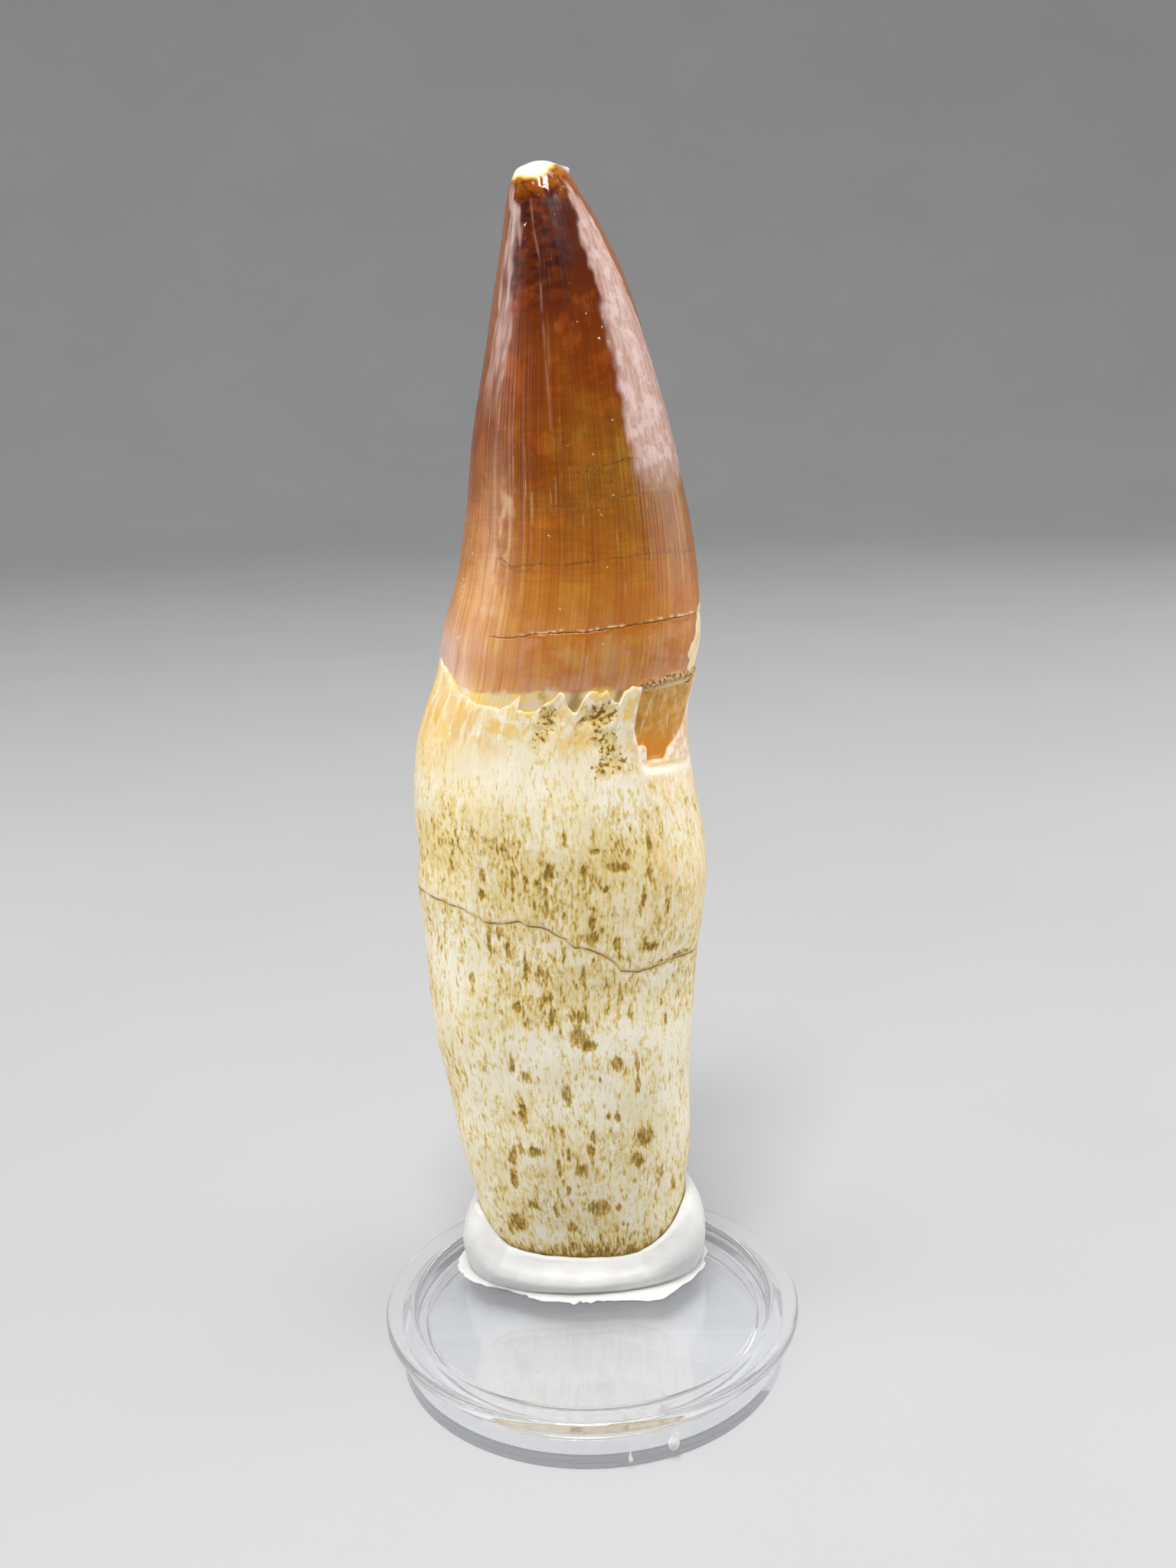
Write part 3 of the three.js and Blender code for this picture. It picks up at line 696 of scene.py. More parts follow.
def enamel_crown():
    """The crown with the brown tooth inside it, which goes on down inside the bone."""
    angle = np.arange(CROWN_COLUMNS) * 360 / CROWN_COLUMNS - 180
    lines = [line_round_tooth(crack["front"], crack["back"], angle) for crack in CRACKS]
    jitter = 0.07 * soft_noise(surface_point(lines[0], angle), 0.6, 2.4)
    lines = [line + jitter for line in lines]
    edge = line_round_tooth(ENAMEL_EDGE_FRONT, ENAMEL_EDGE_BACK, angle)
    on_edge = surface_point(edge, angle)
    edge = edge + 0.18 * soft_noise(on_edge, 0.9, 6.1) + 0.20 * soft_noise(on_edge, 2.6, 3.1)
    rows = crown_rows(edge, lines)
    around = np.broadcast_to(angle, rows.shape)
    radius = plain_radius(rows, around)
    plain = point_at(rows, around, radius)
    along_surface = unrolled(rows, around, CROWN_REFERENCE)

    above = rows - edge
    bone_step = BONE_EDGE * (1 - smooth_step(rows - MARGIN_HEIGHT, 0, FLARE))
    enamel_step = ENAMEL_THICKNESS * (1 - smooth_step(above, -0.25, 0.08))
    opened = window_share(around)
    stub_top = STUB_TOP + (STUB_TOP_IN_WINDOW - STUB_TOP) * opened
    stub_step = STUB_STEP * (1 - smooth_step(rows, stub_top - 0.5, stub_top + 0.2))
    relief = crown_ridges(rows, around) - bone_step - enamel_step - stub_step

    fade = smooth_step(above, 0, 1) * (1 - smooth_step(rows, TIP_TOP - 1, TIP_TOP))
    wrinkles = (0.012 * soft_noise(along_surface, (0.45, 0.45, 22), 0.2)
                + 0.008 * soft_noise(along_surface, (0.25, 0.25, 12), 5.3))
    dents = 0.05 * soft_noise(plain, (3.2, 3.2, 5.5), 2.1) + 0.016 * soft_noise(plain, (0.7, 0.7, 0.8), 7.7)
    polished = 1 - 0.75 * smooth_step(rows, *POLISHED_FROM)
    relief = relief + (wrinkles * polished + dents) * fade
    # Grains of sandy matrix along the edge over the window
    sandy = opened * hump((above - 0.35 - 0.12 * soft_noise(plain, 0.5, 1.2)) / 0.36)
    relief = relief + sandy * (0.16 + 0.2 * soft_noise(plain, 0.26, 3.9))
    cracks, crack_depth = crown_cracks(lines, rows, around, plain)
    relief = relief - crack_depth

    rust, grit, crack_sunk = rusty_crack(rows - lines[0], around, plain)
    worn, splinter, tip_relief = worn_tip(rows, around, plain)
    relief = relief - crack_sunk + tip_relief
    wear = crown_wear(rows, around, plain)
    relief = relief - 0.14 * wear["chip"] + 0.02 * wear["worn_face_and_sheen"] * soft_noise(plain, 0.35, 8.4)
    merging = 0.22 * soft_noise(plain, 0.5, 5.2) + 0.25 * soft_noise(plain, 1.9, 8.8)
    rings = point_at(rows, around, radius + relief)
    centre = rings[-1].mean(axis=0)
    dome = []
    for share in DOME_SHARES:
        ring = centre + (rings[-1] - centre) * share
        ring[:, 2] += TIP_DOME * (1 - share ** 2)
        dome.append(ring)
    masks = {"along_surface": along_surface, "crack": cracks, "rust": rust, "grit": grit, "worn": worn,
             "sandy": sandy, "dentine": 1 - smooth_step(above + merging, -0.35, 0.20),
             "splinter": splinter, **wear}
    return closed_loft("enamel_crown", np.concatenate([rings, dome]), last_row_kept(masks, len(dome)))


def stamp_pores(rows, angle, radius, pores):
    """Depth and stain of many small oval pores, each given as angle, height, half-width,
    half-height, depth and stain."""
    depth = np.zeros(rows.shape)
    stain = np.zeros(rows.shape)
    columns = rows.shape[1]
    for at, level, half_width, half_height, deep, dark in pores:
        column = int(round((at + 180) / 360 * columns)) % columns
        ends = [level - STAMP_REACH * half_height, level + STAMP_REACH * half_height]
        first, last = np.searchsorted(rows[:, column], ends)
        if last <= first:
            continue
        between_columns = radius[first, column] * math.radians(360 / columns)
        reach = int(math.ceil(STAMP_REACH * half_width / between_columns))
        near = np.arange(column - reach, column + reach + 1) % columns
        block = np.ix_(np.arange(first, last), near)
        across = np.radians(turn_between(at, angle[near])) * radius[block] / half_width
        along = (rows[block] - level) / half_height
        shape = 1 - smooth_step(np.hypot(across, along), 0.45, 1.35)
        depth[block] = np.maximum(depth[block], deep * shape)
        stain[block] = np.maximum(stain[block], dark * shape)
    return depth, stain


def strewn_pores():
    """Random pores over the root, denser towards its bottom and in drifting patches."""
    draw = np.random.default_rng(23)
    at = draw.uniform(-180, 180, PORE_COUNT)
    level = draw.uniform(ROOT_BOTTOM + 1, 61, PORE_COUNT)
    place = surface_point(level, at)
    patch = soft_noise(place, (3.0, 3.0, 4.5), 6.5)
    low_down = 1 - smooth_step(level, 14, 62)
    keep = draw.uniform(0, 1, PORE_COUNT) < 0.30 + 0.45 * low_down + 0.55 * patch
    half_width = draw.uniform(*PORE_HALF_WIDTHS, PORE_COUNT) * (0.8 + 0.55 * low_down)
    half_height = half_width * draw.uniform(*PORE_LENGTHS, PORE_COUNT) * (1 - 0.3 * low_down)
    deep = draw.uniform(*PORE_DEPTHS, PORE_COUNT)
    dark = draw.uniform(0.35, 1.0, PORE_COUNT)
    return np.stack([at, level, half_width, half_height, deep, dark], axis=1)[keep]


def away_from(at, level, wide, tall, rows, around, radius):
    """Distance from a place on the root, in shares of a spot's half-width and half-height."""
    across = np.radians(turn_between(at, around)) * radius / wide
    return np.hypot(across, (rows - level) / tall)


def chipped_window(rows, around, plain):
    """The window's broken area, its sunk floor, the bone near its edge, and its depth."""
    across = around * WINDOW_MM_PER_DEGREE
    rough_edge = 0.08 * soft_noise(plain, 0.5, 3.3)
    in_window = outline_distance(across, rows, WINDOW_OUTLINE) + rough_edge
    on_floor = outline_distance(across, rows, WINDOW_FLOOR) - rough_edge
    broken = smooth_step(in_window, 0, WINDOW_WALL)
    sunk = smooth_step(on_floor, 0, WINDOW_WALL)
    shallow = smooth_step(around, *WINDOW_SHALLOW_END)
    depth = (WINDOW_LEDGE_DEPTH * broken + (WINDOW_DEPTH - WINDOW_LEDGE_DEPTH) * sunk) * shallow
    near = np.maximum(broken, hump(in_window / 0.45)) * (1 - sunk)
    return broken, sunk, near, depth


def root_ground(rows, around, plain, radius, margin):
    """Relief of the plain bone: soft dents, calmer near the crown, and the root's broad lumps."""
    calm = 1 - 0.6 * smooth_step(rows, margin - 5, margin)
    relief = 0.16 * soft_noise(plain, (5, 5, 8), 1.3) + 0.06 * soft_noise(plain, (1.8, 1.8, 3.2), 4.1)
    relief = relief * calm
    relief = relief + 0.035 * soft_noise(plain, (0.42, 0.42, 3.2), 2.2)
    relief = relief + 0.020 * soft_noise(plain, (0.35, 0.35, 0.6), 6.2)
    for at, level, wide, tall, rise in LUMPS:
        relief = relief + rise * hump(away_from(at, level, wide, tall, rows, around, radius))
    return relief


def root_pits(rows, around, plain, radius):
    """How far each point lies in a pit, and how deep the pit is there."""
    pitted, depth = np.zeros(rows.shape), np.zeros(rows.shape)
    ragged = 1 + 0.45 * soft_noise(plain, 0.45, 5.7) + 0.35 * soft_noise(plain, 1.3, 2.8)
    rough_floor = 0.5 + 0.5 * soft_noise(plain, 0.35, 9.9)
    for at, level, wide, tall, deep in PITS:
        away = away_from(at, level, wide, tall, rows, around, radius)
        shape = 1 - smooth_step(away * ragged, 0.2, 1.3)
        depth = depth + deep * shape * rough_floor
        pitted = np.maximum(pitted, shape * (0.55 + 0.9 * deep))
    return pitted, depth


def root_tone(rows, plain, faces_front):
    """Where the bone is more stained (over 0) or paler; random at the back."""
    tone = 0.8 * (1 - faces_front) * soft_noise(plain, (6, 6, 9), 2.9)
    for at, level, wide, tall, amount in STAINED_AREAS:
        away = np.hypot((plain[..., 0] - at) / wide, (rows - level) / tall)
        tone = tone + amount * faces_front * hump(away)
    return tone


def bone_root():
    """The root: its outside up to the scalloped edge, then over the edge and in under the crown."""
    angle = np.arange(ROOT_COLUMNS) * 360 / ROOT_COLUMNS - 180
    margin = line_round_tooth(BONE_MARGIN_FRONT, BONE_MARGIN_BACK, angle)
    on_margin = surface_point(margin, angle)
    margin = margin + 0.16 * soft_noise(on_margin, 0.45, 8.8) + 0.16 * soft_noise(on_margin, 1.3, 3.5)
    crack = line_round_tooth(ROOT_CRACK["front"], ROOT_CRACK["back"], angle)
    crack = crack + 0.10 * soft_noise(surface_point(crack, angle), 0.7, 4.2)
    top_row = margin - TOP_ROW_BELOW_MARGIN
    rows = np.concatenate([
        rows_between(np.full(ROOT_COLUMNS, ROOT_BOTTOM), crack - CRACK_LIPS, ROOT_ROWS_UNDER_CRACK, 0),
        [crack - CRACK_LIPS, crack],
        rows_between(crack + CRACK_LIPS, top_row, ROOT_ROWS_OVER_CRACK, 0),
        [top_row],
    ])
    around = np.broadcast_to(angle, rows.shape)
    radius = plain_radius(rows, around)
    plain = point_at(rows, around, radius)

    pitted, pit_depth = root_pits(rows, around, plain, radius)
    relief = root_ground(rows, around, plain, radius, margin) - pit_depth
    pore_depth, pores = stamp_pores(rows, angle, radius, strewn_pores())
    places = [(float(front_angle(x, z)), z, wide, tall, STAIN_DEPTH, 1.0) for x, z, wide, tall in STAINS]
    stain_depth, stain = stamp_pores(rows, angle, radius, places)
    relief = relief - pore_depth - stain_depth * (1 + soft_noise(plain, 0.3, 3.1))
    stain = np.maximum(stain, 0.7 * pores)

    faces_front = smooth_step(-np.sin(np.radians(around)), -0.1, 0.15)
    tone = root_tone(rows, plain, faces_front)

    cracked = crack_mark(ROOT_CRACK, crack, rows, around)
    relief = relief - ROOT_CRACK["depth"] * cracked
    cracked = cracked * patchy(plain, (0.7, 0.7, 3.0), 3.8, 0.85, 0.5, low=0.4)
    # Golden grains fill its right end, and bone over it stands a little proud of bone under it.
    over_crack = rows - crack
    filled = smooth_step(np.abs(turn_between(GOLD_IN_CRACK, around)), 15, 9)
    pitted = np.maximum(pitted, 0.8 * filled * hump((over_crack - 0.2) / 0.4))
    relief = relief + 0.05 * smooth_step(over_crack, -0.05, 0.05) * (1 - smooth_step(over_crack, 0.5, 5))
    # A grainy brown band runs along the putty, and along it a dark line of painted shadow.
    over_putty = rows - putty_rim(around)
    foot_band = (1 - smooth_step(over_putty, 0.4, 2.4)) * faces_front
    foot_shadow_line = 1 - smooth_step(over_putty, -0.1, 0.4)
    # A hairline closes the chipped window off at the bottom.
    first, last = WINDOW_HAIRLINE_ARC
    under_window = np.interp(around, WINDOW_HAIRLINE_ARC, WINDOW_HAIRLINE_HEIGHTS)
    hairline = hump((rows - under_window) / 0.21) * (around > first) * (around < last + 1)
    cracked = np.maximum(cracked, 0.5 * hairline)

    broken, sunk, near_window, window_depth = chipped_window(rows, around, plain)
    relief = relief * (1 - broken) - window_depth
    relief = relief + 0.03 * broken * soft_noise(plain, (0.4, 0.4, 1.5), 8.1)
    rim = smooth_step(margin - rows, 0.9, 0.0)
    relief = relief + 0.07 * rim * (1 - broken) * soft_noise(plain, 0.45, 7.3)
    rim = rim * patchy(plain, (1.2, 1.2, 0.6), 2.3, 0.5, 1.0)

    outer = radius + relief
    rings = [point_at(rows, around, outer)]
    for inward, upward in ROLLED_EDGE:
        rings.append(point_at(rows[-1] + upward, angle, outer[-1] - inward)[None])
    for share in (0.75, 0.4):
        rings.append(point_at(rows[-1] - 0.5, angle, (outer[-1] - ROLLED_EDGE[-1][0]) * share)[None])
    rings = np.concatenate(rings)
    masks = {"along_surface": unrolled(rows, around, ROOT_REFERENCE), "stain": stain, "tone": tone,
             "crack": cracked, "pitted": pitted, "window": sunk, "broken": near_window, "rim": rim,
             "foot_band": foot_band, "foot_shadow_line": foot_shadow_line}
    return closed_loft("bone_root", rings, last_row_kept(masks, len(rings) - len(rows)))


# Putty

def putty_rim(angle):
    """Height of the putty's upper edge at each angle."""
    return np.interp(angle, [at for at, _ in PUTTY_RIM], [level for _, level in PUTTY_RIM], period=360)


def foot_points(angle, spread, height):
    """Points of the putty's outline on the capsule, spread outwards by a distance."""
    c, s = np.cos(np.radians(angle)), np.sin(np.radians(angle))
    across = np.abs(c) / (PUTTY_FOOT["half_width"] + spread)
    along = np.abs(s) / (PUTTY_FOOT["half_depth"] + spread)
    radius = (across ** FOOT_SQUARENESS + along ** FOOT_SQUARENESS) ** (-1 / FOOT_SQUARENESS)
    return np.stack([PUTTY_FOOT["x"] + radius * c, PUTTY_FOOT["y"] + radius * s,
                     np.broadcast_to(height, radius.shape)], axis=-1)


def through_rings(rings, steps):
    """Smooth curve from ring to ring, with the same number of steps between each two."""
    rings = np.array(rings)
    padded = np.concatenate([rings[:1], rings, rings[-1:]])
    result = []
    for a, b, c, d in zip(padded, padded[1:], padded[2:], padded[3:]):
        for t in np.arange(steps) / steps:
            result.append(0.5 * (2 * b + (c - a) * t + (2 * a - 5 * b + 4 * c - d) * t * t
                                 + (3 * b - a - 3 * c + d) * t ** 3))
    result.append(rings[-1])
    return np.array(result)


def out_from_putty(points):
    """Level directions from the putty's middle to points."""
    away = points - np.array([PUTTY_FOOT["x"], PUTTY_FOOT["y"], 0])
    away[..., 2] = 0
    return away / np.linalg.norm(away, axis=-1, keepdims=True)


def putty_collar():
    """The collar: thin ragged skirt on the capsule, bulging wall, rounded lip against the root."""
    angle = np.arange(PUTTY_COLUMNS) * 360 / PUTTY_COLUMNS - 180
    bottom = WINDOW_TOP + 0.02
    on_ring = foot_points(angle, 0, bottom)
    ragged = 0.22 * soft_noise(on_ring, 1.6, 2.7) + 0.16 * soft_noise(on_ring, 0.5, 5.1)
    fringe = hump((angle + 100) / 14) * np.clip(soft_noise(on_ring, 0.3, 1.9) * 1.6, -0.5, 1) * 0.42
    spread = SKIRT_SPREAD + ragged + fringe
    for at, wide, reach in SKIRT_LOBES:
        spread = spread + reach * hump(turn_between(at, angle) / wide)
    rim = putty_rim(angle)
    top = bottom + SKIRT_THICKNESS

    def beside(height, distance):
        return point_at(height, angle, plain_radius(height, angle) + distance)

    def wall(share, out):
        low = foot_points(angle, 0, top + 0.25)
        high = beside(rim - 0.9, 1.0)
        ring = low + (high - low) * share
        return ring + out_from_putty(ring) * out

    rings = through_rings([
        foot_points(angle, spread - 0.10, bottom),
        foot_points(angle, spread, bottom + 0.08),
        foot_points(angle, spread * 0.8, top - 0.06),
        foot_points(angle, 0.15, top - 0.05),
        foot_points(angle, -0.22, top - 0.04),
        *(wall(share, out) for share, out in PUTTY_BULGE),
        beside(rim - 0.42, 0.80),
        beside(rim - 0.12, 0.42),
        beside(rim - 0.10, 0.06),
        beside(rim - 0.5, -0.12),
        beside(rim - 2.0, -0.6),
    ], 5)
    lift = smooth_step(rings[..., 2], top, top + 1.0)
    dents = 0.12 * soft_noise(rings, (4, 4, 2.2), 1.1) + 0.04 * soft_noise(rings, 1.1, 3.6)
    lift = lift * (1 - smooth_step(rings[..., 2], rim - 0.6, rim - 0.2))
    rings = rings + out_from_putty(rings) * (dents * lift)[..., None]
    rings[..., 2] = np.maximum(rings[..., 2] + 0.05 * soft_noise(rings, 1.3, 6.6) * (1 - lift)
                               * smooth_step(rings[..., 2], bottom + 0.1, top), bottom)
    return closed_loft("putty_collar", rings)


def putty_crumb(name, angle, height, half_width, half_height, spike):
    """A crumb of putty on the capsule's lower wall, drawn up to a thin point."""
    bands, sides = 22, 24
    polar = np.linspace(0.08, math.pi - 0.05, bands)[:, None]
    turn = (np.arange(sides) * 2 * math.pi / sides)[None]
    up = -np.cos(polar) + 0 * turn
    slim = np.sin(polar) ** (1 + 1.6 * smooth_step(up, 0.1, 1))
    ball = np.stack([slim * np.cos(turn), slim * np.sin(turn), up], axis=-1)
    ball *= (1 + 0.25 * soft_noise(ball, 0.6, height))[..., None]
    r = math.radians(angle)
    outward = np.array([math.cos(r), math.sin(r), 0])
    sideways = np.array([-math.sin(r), math.cos(r), 0])
    upward = np.array([0.0, 0.0, 1.0])
    rise = half_height * ball[..., 2:] + spike * np.clip(ball[..., 2:], 0, 2) ** 4
    middle = outward * FOOT_RADIUS + upward * height
    rings = (middle + ball[..., :1] * outward * half_width * 0.6
             + ball[..., 1:2] * sideways * half_width + rise * upward)
    return closed_loft(name, rings)


# Clear capsule

def capsule_cap():
    """Upper half: sunk window, raised rim, flange and the spigot that plugs into the foot."""
    underside = WINDOW_TOP - PANEL_THICKNESS
    profile = [
        (0, underside), (SPIGOT_INNER, underside), (SPIGOT_INNER, SPIGOT_BOTTOM),
        (SPIGOT_OUTER, SPIGOT_BOTTOM), (SPIGOT_OUTER, FLANGE_UNDERSIDE),
        (FLANGE_RADIUS, FLANGE_UNDERSIDE), (FLANGE_RADIUS, CAPSULE_HEIGHT),
        (WINDOW_RADIUS, CAPSULE_HEIGHT), (WINDOW_RADIUS, WINDOW_TOP), (0, WINDOW_TOP),
    ]
    radii = [0, 0.2, 0.15, 0.15, 0.15, 0.35, 0.6, 0.55, 0.2, 0]
    return turned("capsule_cap", rounded(profile, radii), CAPSULE_SEGMENTS)


def capsule_foot():
    """Lower half: a shallow round tray."""
    inner = FOOT_RADIUS - FOOT_WALL
    profile = [
        (0, 0), (FOOT_RADIUS, 0), (FOOT_RADIUS, FOOT_TOP), (inner, FOOT_TOP),
        (inner, PANEL_THICKNESS), (0, PANEL_THICKNESS),
    ]
    radii = [0, 0.5, 0.15, 0.15, 0.3, 0]
    return turned("capsule_foot", rounded(profile, radii), CAPSULE_SEGMENTS)


# Shader helpers

def add_node(tree, kind, inputs=None, **settings):
    """A new node with its settings, and its inputs either linked or set."""
    node = tree.nodes.new(kind)
    for name, value in settings.items():
        setattr(node, name, value)
    for key, value in (inputs or {}).items():
        if isinstance(value, bpy.types.NodeSocket):
            tree.links.new(value, node.inputs[key])
        else:
            node.inputs[key].default_value = value
    return node


def join(tree, operation, first, second):
    """One number from two."""
    return add_node(tree, "ShaderNodeMath", {0: first, 1: second}, operation=operation).outputs[0]


def join_places(tree, operation, first, second):
    """One place from two, or from a place and a number."""
    return add_node(tree, "ShaderNodeVectorMath", {0: first, 1: second}, operation=operation).outputs[0]


def new_group(name, **numbers):
    """An empty shader group that takes a place in millimetres and numbers, and gives a mask."""
    group = bpy.data.node_groups.new(name, "ShaderNodeTree")
    group.interface.new_socket("Place", in_out="INPUT", socket_type="NodeSocketVector")
    for label, value in numbers.items():
        socket = group.interface.new_socket(label, in_out="INPUT", socket_type="NodeSocketFloat")
        socket.default_value = value
    group.interface.new_socket("Mask", in_out="OUTPUT", socket_type="NodeSocketFloat")
    return group, group.nodes.new("NodeGroupInput").outputs


def with_mask(group, mask):
    """The group, now that it gives this mask."""
    group.links.new(mask, group.nodes.new("NodeGroupOutput").inputs["Mask"])
    return group


def range_mask(tree, value, low, high):
    """0 below low, 1 above high, and smooth between."""
    node = add_node(tree, "ShaderNodeMapRange", {"Value": value, "From Min": low, "From Max": high},
                    interpolation_type="SMOOTHSTEP")
    return node.outputs["Result"]


def noise_mask(group, given, place, scale, roughness):
    """Mask from noise, between the group's Low and High."""
    inputs = {"Vector": place, "Scale": scale, "Detail": given["Detail"], "Roughness": roughness}
    noise = add_node(group, "ShaderNodeTexNoise", inputs)
    return range_mask(group, noise.outputs["Fac"], given["Low"], given["High"])


def build_clouds():
    """Soft round patches of a size; more detail makes them crumbly."""
    group, given = new_group("clouds", Size=5.0, Low=0.4, High=0.6, Shift=0.0, Detail=3.0)
    scale = join(group, "DIVIDE", 1.0, given["Size"])
    place = join_places(group, "ADD", given["Place"], given["Shift"])
    return with_mask(group, noise_mask(group, given, place, scale, 0.58))


def build_long_grain():
    """Upright streaks: pitch is their spacing and length their height; more detail frays them."""
    group, given = new_group("long_grain", Pitch=0.4, Length=6.0, Low=0.4, High=0.6, Shift=0.0, Detail=2.0)
    moved = join_places(group, "ADD", given["Place"], given["Shift"])
    sides = {"X": given["Pitch"], "Y": given["Pitch"], "Z": given["Length"]}
    cell = add_node(group, "ShaderNodeCombineXYZ", sides).outputs[0]
    place = join_places(group, "DIVIDE", moved, cell)
    return with_mask(group, noise_mask(group, given, place, 1.0, 0.55))


def build_oval_spots():
    """Ragged oval spots: spacing across, stretch along, size as a share of the spacing."""
    group, given = new_group("oval_spots", Spacing=1.0, Stretch=2.5, Size=0.3, Softness=0.1, Ragged=0.15)
    height = join(group, "MULTIPLY", given["Spacing"], given["Stretch"])
    sides = {"X": given["Spacing"], "Y": given["Spacing"], "Z": height}
    cell = add_node(group, "ShaderNodeCombineXYZ", sides).outputs[0]
    place = join_places(group, "DIVIDE", given["Place"], cell)
    wobble = add_node(group, "ShaderNodeTexNoise", {"Vector": place, "Scale": 3.5, "Detail": 2.0})
    amount = {0: wobble.outputs["Color"], "Scale": given["Ragged"]}
    shift = add_node(group, "ShaderNodeVectorMath", amount, operation="SCALE").outputs[0]
    moved = join_places(group, "ADD", place, shift)
    cells = add_node(group, "ShaderNodeTexVoronoi", {"Vector": moved, "Scale": 1.0}, feature="F1")
    outer = join(group, "ADD", given["Size"], given["Softness"])
    return with_mask(group, range_mask(group, cells.outputs["Distance"], outer, given["Size"]))


class Finish:
    """A material under construction: its colour so far, and short names for the nodes that build it."""

    groups = {}

    def __init__(self, name):
        self.material = bpy.data.materials.new(name)
        self.material.use_nodes = True
        self.tree = self.material.node_tree
        self.shader = self.tree.nodes["Principled BSDF"]
        coordinates = self.tree.nodes.new("ShaderNodeTexCoord").outputs["Object"]
        scaled = {0: coordinates, "Scale": MM_PER_METRE}
        self.place = self.node("ShaderNodeVectorMath", scaled, operation="SCALE").outputs[0]
        parts = self.node("ShaderNodeSeparateXYZ", {0: self.place}).outputs
        self.height, self.across = parts["Z"], parts["X"]
        self.colour = None

    def node(self, kind, inputs=None, **settings):
        return add_node(self.tree, kind, inputs, **settings)

    def pattern(self, group, place, **numbers):
        """Mask of a shared pattern; its numbers are named as in the group, in small letters."""
        inputs = {"Place": place}
        inputs.update({label.capitalize(): value for label, value in numbers.items()})
        return self.node("ShaderNodeGroup", inputs, node_tree=Finish.groups[group]).outputs["Mask"]

    def clouds(self, size, low, high, **more):
        return self.pattern("clouds", self.place, size=size, low=low, high=high, **more)

    def grain(self, pitch, length, low, high, **more):
        """Long grain follows the tooth's surface, by the places that the mesh carries for it."""
        place = self.node("ShaderNodeAttribute", attribute_name="along_surface").outputs["Vector"]
        return self.pattern("long_grain", place, pitch=pitch, length=length, low=low, high=high, **more)

    def spots(self, **numbers):
        return self.pattern("oval_spots", self.place, **numbers)

    def mask(self, name):
        """A mask that the mesh carries."""
        return self.node("ShaderNodeAttribute", attribute_name=name).outputs["Fac"]

    def between(self, value, low, high):
        return range_mask(self.tree, value, low, high)

    def upward(self, start, end):
        """0 at the first height and 1 at the second, either way round."""
        return self.between(self.height, start, end)

    def rightward(self, start, end):
        """0 at the first x and 1 at the second, either way round."""
        return self.between(self.across, start, end)

    def math(self, operation, *numbers):
        result = numbers[0]
        for number in numbers[1:]:
            result = join(self.tree, operation, result, number)
        return result

    def times(self, *numbers):
        return self.math("MULTIPLY", *numbers)

    def plus(self, *numbers):
        return self.math("ADD", *numbers)

    def mix(self, share, under, over, **settings):
        inputs = {0: share, 6: under, 7: over}
        return self.node("ShaderNodeMix", inputs, data_type="RGBA", **settings).outputs[2]

    def mix_value(self, share, under, over):
        return self.node("ShaderNodeMix", {0: share, 2: under, 3: over}, data_type="FLOAT").outputs[0]

    def paint(self, over, *shares):
        """Lays a colour over the finish, by the product of masks and numbers."""
        self.colour = self.mix(self.times(*shares), self.colour, over)

    def tint(self, by, *shares):
        """Multiplies the finish by a colour, by a share; factors over 1 brighten it."""
        self.colour = self.mix(self.times(*shares), self.colour, by, blend_type="MULTIPLY")

    def ramp(self, value, stops):
        """Colour by a value, through stops of value and colour."""
        low, high = stops[0][0], stops[-1][0]
        whole = {"Value": value, "From Min": low, "From Max": high}
        share = self.node("ShaderNodeMapRange", whole).outputs[0]
        node = self.node("ShaderNodeValToRGB", {"Fac": share})
        elements = node.color_ramp.elements
        while len(elements) < len(stops):
            elements.new(0.5)
        for element, (at, colour) in zip(elements, stops):
            element.position = (at - low) / (high - low)
            element.color = (*colour, 1)
        return node.outputs["Color"]

    def relief(self, height, distance, strength):
        inputs = {"Height": height, "Distance": distance * MM, "Strength": strength}
        self.put("Normal", self.node("ShaderNodeBump", inputs).outputs["Normal"])

    def let_light_through(self, tint):
        """Light that is on its way to other things goes straight through, so that they are lit."""
        way = self.node("ShaderNodeLightPath").outputs
        clear = self.node("ShaderNodeBsdfTransparent", {"Color": tint}).outputs["BSDF"]
        share = self.math("MAXIMUM", way["Is Shadow Ray"], way["Is Diffuse Ray"])
        inputs = {0: share, 1: self.shader.outputs["BSDF"], 2: clear}
        mixed = self.node("ShaderNodeMixShader", inputs).outputs["Shader"]
        self.tree.links.new(mixed, self.tree.nodes["Material Output"].inputs["Surface"])

    def put(self, socket, value):
        if isinstance(value, bpy.types.NodeSocket):
            self.tree.links.new(value, self.shader.inputs[socket])
        else:
            self.shader.inputs[socket].default_value = value


def solid(red, green, blue):
    return (red, green, blue, 1.0)


# Materials

ENAMEL_BY_HEIGHT = [
    (66.0, (0.50, 0.24, 0.08)),
    (69.4, (0.55, 0.23, 0.075)),
    (71.0, (0.50, 0.165, 0.030)),
    (74.0, (0.46, 0.150, 0.018)),
    (78.0, (0.44, 0.155, 0.016)),
    (82.0, (0.33, 0.095, 0.006)),
    (88.0, (0.21, 0.046, 0.0)),
    (96.0, (0.20, 0.038, 0.0)),
    (102.0, (0.15, 0.024, 0.0)),
    (107.0, (0.085, 0.011, 0.0)),
    (112.0, (0.085, 0.010, 0.0)),
    (113.4, (0.24, 0.06, 0.0)),
    (116.0, (0.50, 0.18, 0.008)),
]
ENAMEL_GOLD = solid(0.62, 0.28, 0.025)
ENAMEL_RED = solid(0.50, 0.10, 0.008)
DARKER_LINE = solid(0.62, 0.46, 0.32)
PALER_LINE = solid(1.5, 1.9, 3.2)
DARKER_RING = solid(0.72, 0.62, 0.50)
